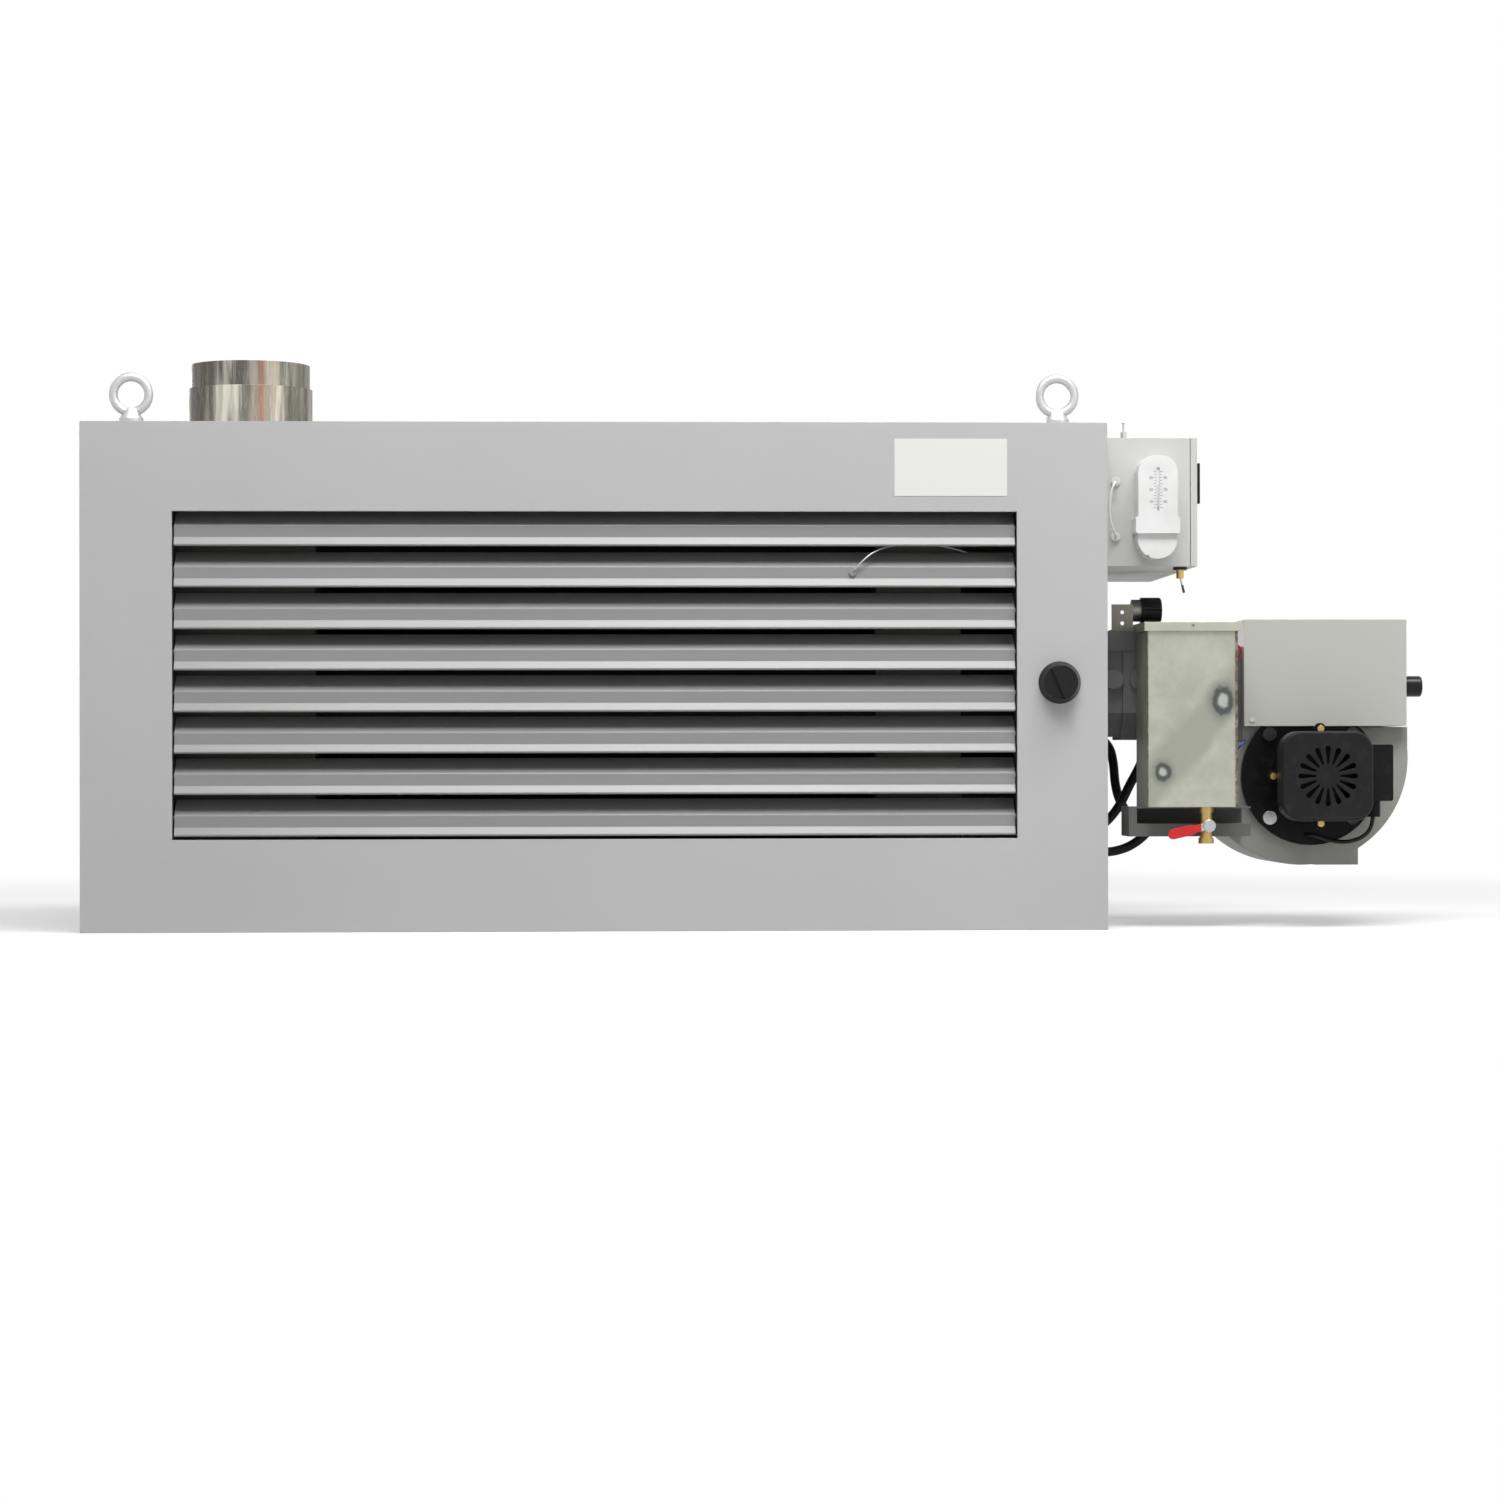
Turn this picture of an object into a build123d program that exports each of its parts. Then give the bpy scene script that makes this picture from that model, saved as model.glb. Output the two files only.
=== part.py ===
from build123d import *
import math
import os

# Waste oil heater: louvred air cabinet with a heat exchanger, twin rear fans,
# control box, float tank and burner on its right side.
# X runs to the right, Y runs into the cabinet, Z runs up. The origin is the centre of the cabinet base.

# Shared fits and stock
sheet = 1.5
running_gap = 0.05
seat_gap = 0.2
free_gap = 0.3
overrun = 4.0

# Cabinet casing
casing_width = 1250.0
casing_depth = 500.0
casing_height = 620.0
panel_return = 24.0
panel_corner = 3.0
face_y = -casing_depth / 2
rear_y = casing_depth / 2
side_x = casing_width / 2

# Louvre opening and blades
opening_width = 1028.0
opening_height = 399.0
opening_bottom = 112.0
opening_return = 44.0
opening_hem = 8.0
blade_count = 8
blade_top_lap = 2.1
blade_sheet = 1.2
blade_setback = 2.2
blade_lip_depth = 6.0
blade_lip_rise = 10.3
blade_throat_depth = 1.0
blade_throat_rise = 14.4
blade_tail_depth = 24.0
blade_tail_rise = 19.0
blade_bend = 2.5
blade_hem = 3.5
blade_end_gap = 2.0
first_lip_rise = 4.6
pin_radius = 3.0
pin_cap_radius = 5.5
pin_cap_length = 1.6
pin_reach = 3.0
ear_sheet = 1.5
blade_tilts = (0.0, -1.2, 0.8, -0.5, 1.1, 0.4, -0.9, 0.6)

# Lifting eyes
eye_inset_x = 57.8
eye_inset_y = 35.0
eye_wire = 5.5
eye_mean_radius = 21.5
eye_rise = 35.5
eye_collar_radius = 15.0
eye_collar_height = 6.0
eye_thread_radius = 6.0
eye_thread_length = 20.0
eye_nut_radius = 10.9
eye_nut_height = 10.0
rear_eye_wire = 4.0
rear_eye_mean_radius = 14.0
rear_eye_rise = 18.0
rear_eye_collar_radius = 10.0
rear_eye_collar_height = 4.0
rear_eye_thread_radius = 4.0
rear_eye_nut_radius = 7.5

# Flue
flue_inset = 182.0
flue_y = 0.0
flue_outer_radius = 76.0
flue_wall = 1.5
flue_rise = 93.0
flue_drop = 50.0
flue_relief = 0.8
sleeve_wall = 3.3
sleeve_rise = 62.0
bead_radius = 1.6

# Heat exchanger
burner_setback = 200.0
burner_z = 300.0
drum_radius = 130.0
drum_wall = 4.0
drum_left_inset = 155.0
drum_right_inset = 69.0
drum_neck_radius = 70.0
drum_neck_wall = 5.0
header_wall = 3.0
header_front_gap = 11.0
header_rear_gap = 120.0
header_low = 80.0
flue_header_inset = 85.0
flue_header_width = 195.0
return_header_inset = 175.0
return_header_width = 105.0
tube_radius = 30.0
tube_wall = 2.5
tube_row_rise = 165.0
tube_spacing = 95.0
tube_row_count = 3
tube_stub = 8.0
support_span = 500.0
support_sheet = 4.0
support_width = 180.0
support_foot = 40.0

# Clean-out door
cleanout_radius = 105.0
cleanout_cover_radius = 122.0
cleanout_cover_sheet = 3.0
cleanout_bolt_circle = 113.0
cleanout_bolt_radius = 4.0
cleanout_bolt_head = 6.5
cleanout_head_height = 5.0
cleanout_bolt_count = 4

# Rear fans
fan_spacing = 580.0
fan_z = 300.0
fan_radius = 195.0
fan_ring_radius = 201.0
fan_ring_depth = 42.0
fan_hub_radius = 58.0
fan_hub_depth = 26.0
fan_hub_wall = 3.0
fan_blade_count = 5
fan_blade_sheet = 2.5
fan_blade_root = 70.0
fan_blade_tip = 115.0
fan_blade_twist = 28.0
fan_setback = 24.0
fan_shaft_radius = 6.0
fan_motor_radius = 50.0
fan_motor_length = 62.0
guard_stand = 52.0
guard_ring_radius = 2.0
guard_spoke_radius = 2.5
guard_ring_count = 7
guard_ring_step = 22.0
guard_outer_radius = 214.0
guard_spoke_count = 8

# Fan thermostat behind the front panel, its knob and its sensing capillary
knob_inset = 59.0
knob_z = 302.0
knob_radius = 26.0
knob_height = 25.0
knob_crown_radius = 21.0
knob_grip_width = 9.0
knob_shaft_radius = 3.0
knob_flat = 1.2
knob_rest_turn = 24.0
stat_width = 44.0
stat_height = 92.0
stat_depth = 42.0
capillary_radius = 1.0
capillary_screw_x = 313.0
capillary_screw_radius = 4.4
capillary_screw_height = 3.0

# Bare plate where a sticker sits
label_width = 138.0
label_height = 70.0
label_sheet = 0.4
label_inset = 123.0
label_drop = 20.0

# Control box
box_reach = 120.0
box_sheet = 1.2
box_setback = 60.0
box_rear_inset = 40.0
box_drop = 13.5
box_height = 159.0
door_flange = 9.0
door_gap = 0.8
box_lip = 12.0
hinge_radius = 4.0
hinge_pin_radius = 1.5
hinge_knuckle = 14.0
hinge_inset = 34.0
hinge_leaf = 20.0
latch_inset = 27.0
latch_rise = 104.5
latch_base_radius = 11.0
latch_base_height = 2.2
latch_bar_length = 50.0
latch_bar_width = 11.0
latch_bar_sheet = 4.4
latch_shaft_radius = 4.0
latch_tongue_sheet = 2.5
rail_width = 35.0
rail_sheet = 1.5
rail_length = 300.0
relay_width = 45.0
relay_depth = 50.0
relay_height = 78.0
terminal_pitch = 12.0
terminal_count = 8
terminal_height = 40.0
terminal_depth = 30.0

# Toggle switches on the control box
upper_toggle_reach = 31.0
upper_toggle_setback = 20.0
upper_bush_radius = 3.8
upper_bush_height = 9.0
upper_lever_length = 15.0
lower_toggle_inset = 9.0
lower_toggle_setback = 24.0
lower_washer_radius = 8.7
lower_washer_height = 4.0
lower_bush_radius = 4.6
lower_bush_height = 10.0
lower_lever_length = 22.0
toggle_lean = 13.0
toggle_bore_radius = 2.5
toggle_ball_radius = 2.2
toggle_root_radius = 1.1
toggle_tip_radius = 1.7
toggle_body_radius = 7.0
toggle_body_height = 14.0

# Room thermostat on the control box
room_reach = 66.0
room_width = 49.0
room_depth = 36.0
room_rise = 7.5
room_height = 127.0
room_crown = 21.0
room_band_height = 21.0
room_band_reach = 3.0
room_band_rise = 31.0
room_edge = 3.0
room_slot_width = 4.0
room_slot_height = 54.0
room_slot_depth = 1.5
room_slot_rise = 58.0
dial_radius = 24.5
dial_thickness = 15.0
dial_cover = 4.5
dial_shaft_radius = 4.0
dial_notch = 1.6
dial_notch_turn = 240.0
grommet_offset = 18.0
grommet_rise = 104.9
grommet_radius = 5.6
grommet_bore = 2.6
grommet_reach = 2.2

# Burner neck casting
neck_width = 120.0
neck_drop = 67.0
neck_rise = 70.0
neck_lid_height = 25.0
neck_lid_reach = 3.0
neck_length = 119.0
neck_step_reach = 38.0
neck_step_depth = 4.0
neck_chin = 34.0
neck_chin_inset = 22.0
neck_flange_sheet = 12.0
neck_flange_reach = 14.0
neck_boss_radius = 12.6
neck_boss_height = 6.0
neck_boss_rise = 9.0
neck_boss_reaches = (26.0, 59.0)
blast_radius = 52.5
blast_wall = 3.0
blast_inset = 105.0
diffuser_radius = 44.0
diffuser_bore = 14.0
diffuser_sheet = 2.0
diffuser_setback = 18.0
nozzle_radius = 9.0
nozzle_length = 34.0
lance_radius = 6.0
electrode_radius = 3.0
electrode_offset = 17.0

# Burner fan housing and motor
volute_reach = 263.0
volute_drop = 89.7
volute_radius = 135.5
volute_width = 130.0
duct_gap = 1.0
volute_wall = 4.0
duct_length = 215.0
duct_drop = 64.0
duct_rise = 50.0
riser_reach = 135.0
duct_window = 76.0
inlet_reach = 132.0
inlet_radius = 9.5
inlet_offsets = ((20.0, -88.3), (36.0, -60.3))
foot_offset = 17.0
foot_width = 55.0
foot_height = 25.2
motor_offset = 10.7
motor_drop = 23.3
plate_radius = 87.2
plate_thickness = 8.0
plate_screw_circle = 74.4
plate_screw_radius = 8.7
plate_screw_height = 5.0
motor_radius = 50.0
motor_length = 82.0
motor_spigot_radius = 44.0
motor_shaft_radius = 7.0
motor_shaft_reach = 62.0
lug_reach = 9.0
lug_radius = 7.0
lug_setback = 57.0
lug_sheet = 6.0
lug_bolt_radius = 4.2
lug_bolt_height = 5.0
cowl_side_reach = 6.5
cowl_top_reach = 5.5
cowl_corner = 24.0
cowl_depth = 36.0
cowl_wall = 2.5
cowl_edge = 4.0
cowl_slot_count = 16
cowl_slot_inner = 23.5
cowl_slot_outer = 36.8
cowl_slot_width = 3.6
capacitor_width = 38.0
capacitor_height = 70.0
capacitor_depth = 60.0
capacitor_rise = 39.0
capacitor_edge = 3.0
gland_radius = 9.0
gland_length = 20.0
cable_radius = 2.6
wheel_radius = 80.0
wheel_ring_width = 16.0
wheel_width = 68.0
wheel_sheet = 2.0
wheel_blade_count = 24
wheel_hub_radius = 16.0
wheel_setback = 14.0
damper_radius = 64.0
damper_sheet = 2.0
damper_inner = 22.0
damper_outer = 56.0
damper_window_angle = 45.0
damper_window_count = 4
damper_stud_radius = 5.0
damper_cap_radius = 9.0
damper_cap_height = 4.0

# Burner cover and reset button
cover_reach = 131.0
cover_width = 205.7
cover_front_reach = 15.0
cover_rear_reach = 11.0
cover_height = 134.0
cover_rise = 33.7
cover_gap = 1.2
cover_sheet = 1.2
cover_corner = 1.5
cover_screw_inset = 10.0
cover_screw_rise = 8.0
cover_screw_radius = 3.0
control_width = 44.0
control_depth = 96.0
control_height = 92.0
reset_offset = 50.0
reset_radius = 13.2
reset_reach = 24.7
reset_travel = 4.0
reset_stem_radius = 6.0
reset_stem_length = 22.0
reset_round = 3.0

# Float tank, its lid and its shelf
tank_gap = 54.0
tank_width = 112.0
tank_depth = 97.5
tank_back_gap = 2.5
tank_drop = 151.0
tank_height = 227.3
tank_sheet = 1.2
lid_sheet = 1.0
lid_reach = 3.0
lid_skirt = 10.0
lid_hole_radius = 1.6
shelf_left_reach = 19.0
shelf_right_reach = 21.0
shelf_sheet = 2.0
shelf_depth = 69.0
shelf_height = 36.7
shelf_lip = 16.0
shelf_end_strip = 10.0

# Drain valve
valve_side_inset = 37.3
valve_front_inset = 16.0
valve_drop = 23.0
valve_radius = 7.6
valve_bore = 4.0
valve_collar_radius = 9.4
valve_collar_height = 7.0
valve_length = 45.2
valve_ball_radius = 9.6
valve_bonnet_radius = 5.5
valve_stem_radius = 2.5
valve_nut_radius = 8.0
valve_nut_height = 4.5
valve_bonnet_reach = 15.0
lever_sheet = 2.0
lever_length = 52.0
lever_grip = 36.0
lever_grip_width = 12.5
lever_grip_sheet = 4.6
lever_neck_width = 9.0
lever_rest = 13.0

# Air regulator on the neck
regulator_setback = 22.0
regulator_rise = 26.5
bracket_reach = 25.0
bracket_width = 27.0
bracket_sheet = 2.0
bracket_rise = 34.0
bracket_foot = 30.0
bracket_hole_radius = 2.4
regulator_radius = 14.0
regulator_length = 11.0
regulator_knob_radius = 16.5
regulator_knob_length = 26.0
regulator_shaft_radius = 4.0
regulator_flutes = 14
regulator_flute_radius = 1.6
regulator_knob_round = 3.0

# Hoses between the cabinet side and the burner, and their glands
hose_radius = 6.0
hose_gland_radius = 9.5
hose_gland_length = 9.0
wire_radius = 1.3
lead_end_rise = 36.5
gland_places = ((25.0, 240.0), (-5.0, 118.0), (10.0, 88.0))
bend_share = 0.45
cable_entry_offset = (-5.7, -74.0)

# Cord routes, chosen by hand, from end to end
capillary_route = ((314.5, -245.6, 440.0), (324.0, -246.5, 450.0), (335.0, -244.5, 459.5),
                   (348.0, -238.0, 466.5), (366.0, -226.0, 471.0), (392.0, -213.0, 474.0),
                   (426.0, -205.0, 472.0), (462.0, -200.5, 463.0), (497.0, -199.0, 446.0),
                   (524.0, -199.5, 420.0), (545.0, -204.0, 392.0), (559.0, -213.0, 368.0),
                   (563.0, -222.0, 348.6))
motor_cable_route = ((968.0, -170.7, 145.5), (968.0, -170.7, 127.0), (959.0, -167.0, 112.0),
                     (941.0, -159.0, 104.0), (920.0, -150.0, 105.0), (902.0, -142.0, 112.0),
                     (893.0, -133.0, 113.0), (893.0, -119.3, 113.0))
wire_routes = {
    "red": ((791.3, -160.0, 352.0), (799.0, -160.0, 352.0), (806.0, -155.0, 346.0), (806.0, -146.0, 338.0),
            (801.0, -135.0, 331.0), (797.0, -125.0, 325.0), (797.0, -115.3, 325.0)),
    "blue": ((816.0, -115.3, 232.0), (816.0, -123.0, 232.0), (811.0, -128.0, 227.0), (805.0, -128.0, 220.0),
             (801.0, -123.0, 214.0), (801.0, -115.3, 214.0)),
    "lead": ((643.0, -189.0, 552.4), (643.0, -197.0, 552.4), (638.0, -202.0, 545.0), (634.5, -203.0, 532.0),
             (634.0, -203.0, 517.0), (635.0, -203.0, 503.0), (639.0, -202.0, 491.0), (643.0, -197.0, 484.0),
             (643.0, -189.0, 484.0)),
}
hose_routes = {
    "upper": ((625.2, 25.0, 240.0), (646.0, 25.0, 240.0), (664.0, 24.0, 226.0), (669.0, 22.0, 203.0),
              (670.0, 19.0, 178.0), (675.0, 13.0, 154.0), (688.0, 4.0, 134.0), (704.0, -9.0, 121.0),
              (720.0, -21.0, 117.0), (738.0, -30.0, 122.0), (755.8, -30.0, 122.0)),
    "middle": ((700.0, -40.0, 232.7), (700.0, -40.0, 213.0), (692.0, -37.0, 194.0), (682.0, -31.0, 175.0),
               (674.0, -23.0, 155.0), (663.0, -12.0, 136.0), (645.0, -5.0, 118.0), (625.2, -5.0, 118.0)),
    "lower": ((625.2, 10.0, 88.0), (646.0, 10.0, 88.0), (669.0, 9.0, 89.0), (691.0, 5.0, 97.0),
              (709.0, -2.0, 112.0), (722.0, -9.0, 132.0), (737.0, -14.0, 150.0), (755.8, -14.0, 150.0)),
}

# Places in the cabinet, worked out from the sizes above
casing_top = casing_height
side_inner = side_x - sheet
opening_half = opening_width / 2
opening_top = opening_bottom + opening_height
blade_depth = blade_lip_depth + blade_throat_depth + blade_tail_depth
blade_rise = blade_lip_rise + blade_throat_rise + blade_tail_rise
blade_pitch = (opening_height - first_lip_rise - blade_rise + blade_top_lap) / (blade_count - 1)
blade_half = opening_half - blade_end_gap
pivot_y = face_y + blade_setback + blade_depth / 2
flue_x = -side_x + flue_inset
sleeve_radius = flue_outer_radius + seat_gap + sleeve_wall
burner_y = face_y + burner_setback
drum_y = burner_y
drum_z = burner_z
drum_left = -side_x + drum_left_inset
drum_right = side_x - drum_right_inset
header_front = face_y + opening_return + header_front_gap
header_rear = rear_y - header_rear_gap
header_high = casing_top - flue_drop
flue_header_left = -side_x + flue_header_inset
flue_header_right = flue_header_left + flue_header_width
return_header_right = side_x - return_header_inset
return_header_left = return_header_right - return_header_width
return_header_x = (return_header_left + return_header_right) / 2
fan_x = fan_spacing / 2
knob_x = side_x - knob_inset
label_right = side_x - label_inset
label_top = casing_top - label_drop

# Places on the control box
box_front = face_y + box_setback
box_rear = rear_y - box_rear_inset
box_right = side_x + box_reach
box_top = casing_top - box_drop
box_bottom = box_top - box_height
box_edge = box_right - door_flange
door_axis_x = box_edge + running_gap
door_axis_y = box_rear + hinge_radius + free_gap
latch_y = box_front + latch_inset
latch_z = box_bottom + latch_rise
upper_toggle_x = side_x + upper_toggle_reach
upper_toggle_y = box_front + upper_toggle_setback
lower_toggle_x = box_edge - lower_toggle_inset
lower_toggle_y = box_front + lower_toggle_setback
room_x = side_x + room_reach
room_bottom = box_bottom + room_rise
room_front = box_front - room_depth
band_low = room_bottom + room_band_rise
dial_z = room_bottom + dial_radius
dial_front = room_front + dial_cover
grommet_x = side_x + grommet_offset
grommet_z = box_bottom + grommet_rise
lead_end_z = box_bottom + lead_end_rise

# Places on the burner
neck_low = burner_z - neck_drop
neck_high = burner_z + neck_rise
neck_end_x = side_x + neck_length
neck_step_x = side_x + neck_step_reach
neck_front = burner_y - neck_width / 2
neck_rear = burner_y + neck_width / 2
neck_boss_z = burner_z + neck_boss_rise
blast_left = side_x - blast_inset
volute_x = side_x + volute_reach
volute_z = burner_z - volute_drop
volute_front = burner_y - volute_width / 2
volute_rear = volute_front + volute_width
duct_left = neck_end_x + duct_gap
duct_right = duct_left + duct_length
duct_low = burner_z - duct_drop
duct_high = burner_z + duct_rise
cover_right = volute_x + cover_reach
cover_left = cover_right - cover_width
cover_inner_right = cover_right - cover_sheet
cover_front = volute_front - cover_front_reach
cover_rear = volute_rear + cover_rear_reach
cover_high = duct_high + cover_rise
cover_low = cover_high - cover_height
riser_right = volute_x + riser_reach
riser_high = cover_low - cover_gap
inlet_face = volute_x - inlet_reach
foot_left = volute_x + foot_offset
foot_low = volute_z - volute_radius
motor_x = volute_x + motor_offset
motor_z = volute_z - motor_drop
plate_front = volute_front - plate_thickness
motor_front = plate_front - motor_length
lug_circle = motor_radius + lug_reach
cowl_width = 2 * (motor_radius + cowl_side_reach)
cowl_height = 2 * (motor_radius + cowl_top_reach)
capacitor_front = motor_front + cowl_edge + free_gap
capacitor_top = motor_z + capacitor_rise
gland_place = (motor_x + motor_radius + free_gap + capacitor_width / 2, capacitor_front + capacitor_depth / 2)
cable_entry = (motor_x + cable_entry_offset[0], motor_z + cable_entry_offset[1])
reset_y = burner_y - reset_offset
reset_z = burner_z

# Places round the tank and the regulator
tank_left = side_x + tank_gap
tank_right = tank_left + tank_width
tank_rear = volute_front - tank_back_gap
tank_front = tank_rear - tank_depth
tank_low = burner_z - tank_drop
tank_high = tank_low + tank_height
shelf_left = tank_left - shelf_left_reach
shelf_right = tank_right + shelf_right_reach
shelf_front = volute_front - shelf_depth
shelf_low = tank_low - shelf_height
valve_x = tank_right - valve_side_inset
valve_y = tank_front + valve_front_inset
valve_z = tank_low - valve_drop
valve_low = tank_low - valve_length
valve_bonnet_front = valve_y - valve_radius - valve_bonnet_reach
regulator_y = neck_front + regulator_setback
regulator_z = neck_high + regulator_rise
bracket_left = side_x + bracket_reach
bracket_right = bracket_left + bracket_width
bracket_high = neck_high + bracket_rise


def block(x0, x1, y0, y1, z0, z1):
    """Box between six limits."""
    size = Box(x1 - x0, y1 - y0, z1 - z0)
    return Pos((x0 + x1) / 2, (y0 + y1) / 2, (z0 + z1) / 2) * size


def axis_plane(axis, centre, start):
    """Plane across an axis at a distance along it; centre holds the other two coordinates."""
    first, second = centre
    if axis == "x":
        return Plane(origin=(start, first, second), x_dir=(0, 1, 0), z_dir=(1, 0, 0))
    if axis == "y":
        return Plane(origin=(first, start, second), x_dir=(0, 0, 1), z_dir=(0, 1, 0))
    return Plane(origin=(first, second, start), x_dir=(1, 0, 0), z_dir=(0, 0, 1))


def rod(axis, centre, radius, start, end):
    """Round bar along an axis."""
    bar = Cylinder(radius, end - start, align=(Align.CENTER, Align.CENTER, Align.MIN))
    return axis_plane(axis, centre, start) * bar


def pipe(axis, centre, outer, inner, start, end):
    """Round bar with a bore right through it."""
    return rod(axis, centre, outer, start, end) - rod(axis, centre, inner, start - overrun, end + overrun)


def frustum(axis, centre, first_radius, last_radius, start, end):
    """Tapered round bar along an axis."""
    cone = Cone(first_radius, last_radius, end - start, align=(Align.CENTER, Align.CENTER, Align.MIN))
    return axis_plane(axis, centre, start) * cone


def push_x(sketch, start, end):
    """Solid from a sketch drawn in Y and Z."""
    return extrude(Plane.YZ.offset(start) * sketch, amount=end - start, dir=(1, 0, 0))


def push_y(sketch, start, end):
    """Solid from a sketch drawn in X and Z."""
    return extrude(Plane.XZ.offset(-start) * sketch, amount=end - start, dir=(0, 1, 0))


def push_z(sketch, start, end):
    """Solid from a sketch drawn in X and Y."""
    return extrude(Plane.XY.offset(start) * sketch, amount=end - start, dir=(0, 0, 1))


def around(axis_point, axis_direction, shape, angle):
    """Shape turned about a line."""
    return shape.rotate(Axis(axis_point, axis_direction), angle)


def arc_radii(points):
    """Bend radius at each inner point of a route, as large as its two runs allow."""
    vectors = [Vector(*point) for point in points]
    radii = []
    for before, here, after in zip(vectors, vectors[1:], vectors[2:]):
        run_in = here - before
        run_out = after - here
        shorter = min(run_in.length, run_out.length)
        half_turn = math.radians(run_in.get_angle(run_out)) / 2
        radii.append(bend_share * shorter / math.tan(half_turn))
    return radii


def cord(name, points, radius):
    """Round cord of straight runs joined by tangent arcs."""
    radii = arc_radii(points)
    route = FilletPolyline(*points, radius=radii)
    solid = sweep((route ^ 0) * Circle(radius), path=route)
    plain_volume = math.pi * radius**2 * route.length
    print(name, "length", round(route.length, 1), "radii", [round(value, 1) for value in radii],
          "volume ratio", round(solid.volume / plain_volume, 4))
    return solid


def blade_base(index):
    """Height of a blade's lower lip; blade 1 is the top one."""
    return opening_bottom + first_lip_rise + (blade_count - index) * blade_pitch


def pivot_z(index):
    return blade_base(index) + blade_rise / 2


def edge_return(y0, y1):
    """Folded rim that stands just inside the casing's wrap."""
    outer_x = side_inner - seat_gap
    outer_low = sheet + seat_gap
    outer_high = casing_top - sheet - seat_gap
    rim = block(-outer_x, outer_x, y0, y1, outer_low, outer_high)
    inner_x = outer_x - sheet
    hollow = block(-inner_x, inner_x, y0 - overrun, y1 + overrun, outer_low + sheet, outer_high - sheet)
    return rim - hollow


def front_panel():
    """Folded front with the louvre opening, its side returns with pivot holes, and the knob hole."""
    plate = block(-side_x, side_x, face_y, face_y + sheet, 0, casing_top)
    corner_edges = plate.edges().filter_by(Axis.Y)
    plate = fillet(corner_edges, panel_corner)
    plate += edge_return(face_y + sheet, face_y + panel_return)
    side_frame = block(-opening_half - sheet, opening_half + sheet, face_y, face_y + opening_hem,
                       opening_bottom - sheet, opening_top + sheet)
    for side in (-1, 1):
        inner = side * opening_half
        outer = side * (opening_half + sheet)
        side_frame += block(min(inner, outer), max(inner, outer), face_y, face_y + opening_return,
                            opening_bottom - sheet, opening_top + sheet)
    panel = plate + side_frame
    panel -= block(-opening_half, opening_half, face_y - overrun, face_y + opening_return + overrun,
                   opening_bottom, opening_top)
    for index in range(1, blade_count + 1):
        centre = (pivot_y, pivot_z(index))
        for side in (-1, 1):
            middle = side * opening_half
            panel -= rod("x", centre, pin_radius + running_gap, middle - overrun, middle + overrun)
    panel -= rod("y", (knob_x, knob_z), knob_shaft_radius + free_gap, face_y - overrun, face_y + overrun)
    return panel


def louvre(index):
    """Blade with a hemmed lip, a bent throat and tail, end ears and pivot pins with push-on caps."""
    base = blade_base(index)
    front = face_y + blade_setback
    lip = (front + blade_lip_depth, base + blade_lip_rise)
    throat = (front + blade_lip_depth + blade_throat_depth, lip[1] + blade_throat_rise)
    tail = (front + blade_depth, base + blade_rise)
    line = FilletPolyline((front + blade_hem, base), (front, base), lip, throat, tail,
                          radius=(blade_sheet, blade_bend, blade_bend))
    blade = push_x(trace(line, line_width=blade_sheet), -blade_half, blade_half)
    centre = (pivot_y, pivot_z(index))
    ear_outline = make_face(Polyline((front, base), lip, throat, tail,
                                     (pivot_y + pin_cap_radius, pivot_z(index)),
                                     (pivot_y, pivot_z(index) - pin_cap_radius), close=True))
    for side in (-1, 1):
        ear_inner = side * (blade_half - ear_sheet)
        ear_outer = side * blade_half
        pin_end = side * (opening_half + sheet + pin_reach)
        cap_start = side * (opening_half + sheet + free_gap)
        cap_end = cap_start + side * pin_cap_length
        blade += push_x(ear_outline, min(ear_inner, ear_outer), max(ear_inner, ear_outer))
        blade += rod("x", centre, pin_radius, min(ear_inner, pin_end), max(ear_inner, pin_end))
        blade += rod("x", centre, pin_cap_radius, min(cap_start, cap_end), max(cap_start, cap_end))
    if index == 2:
        blade += capillary_screw(lip)
    return around((0, pivot_y, pivot_z(index)), (1, 0, 0), blade, blade_tilts[index - 1])


def capillary_screw(lip):
    """Round screw head standing square on the middle of a blade's throat."""
    slope = math.atan2(blade_throat_rise, blade_throat_depth)
    direction = (0, -math.sin(slope), math.cos(slope))
    middle = (capillary_screw_x, lip[0] + blade_throat_depth / 2, lip[1] + blade_throat_rise / 2)
    head = Cylinder(capillary_screw_radius, capillary_screw_height,
                    align=(Align.CENTER, Align.CENTER, Align.MIN))
    return Plane(origin=middle, z_dir=direction) * head


def eye_places(side):
    """The two lifting points near the top's front corners (-1) or rear corners (1)."""
    reach_x = side_x - eye_inset_x
    y = side * (casing_depth / 2 - eye_inset_y)
    return [(-reach_x, y), (reach_x, y)]


def top_panel():
    plate = block(-side_x, side_x, face_y + sheet, rear_y, casing_top - sheet, casing_top)
    low = casing_top - overrun
    high = casing_top + overrun
    plate -= rod("z", (flue_x, flue_y), flue_outer_radius + seat_gap, low, high)
    for place in eye_places(-1):
        plate -= rod("z", place, eye_thread_radius + seat_gap, low, high)
    for place in eye_places(1):
        plate -= rod("z", place, rear_eye_thread_radius + seat_gap, low, high)
    return plate


def bottom_panel():
    return block(-side_x, side_x, face_y + sheet, rear_y, 0, sheet)


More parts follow.
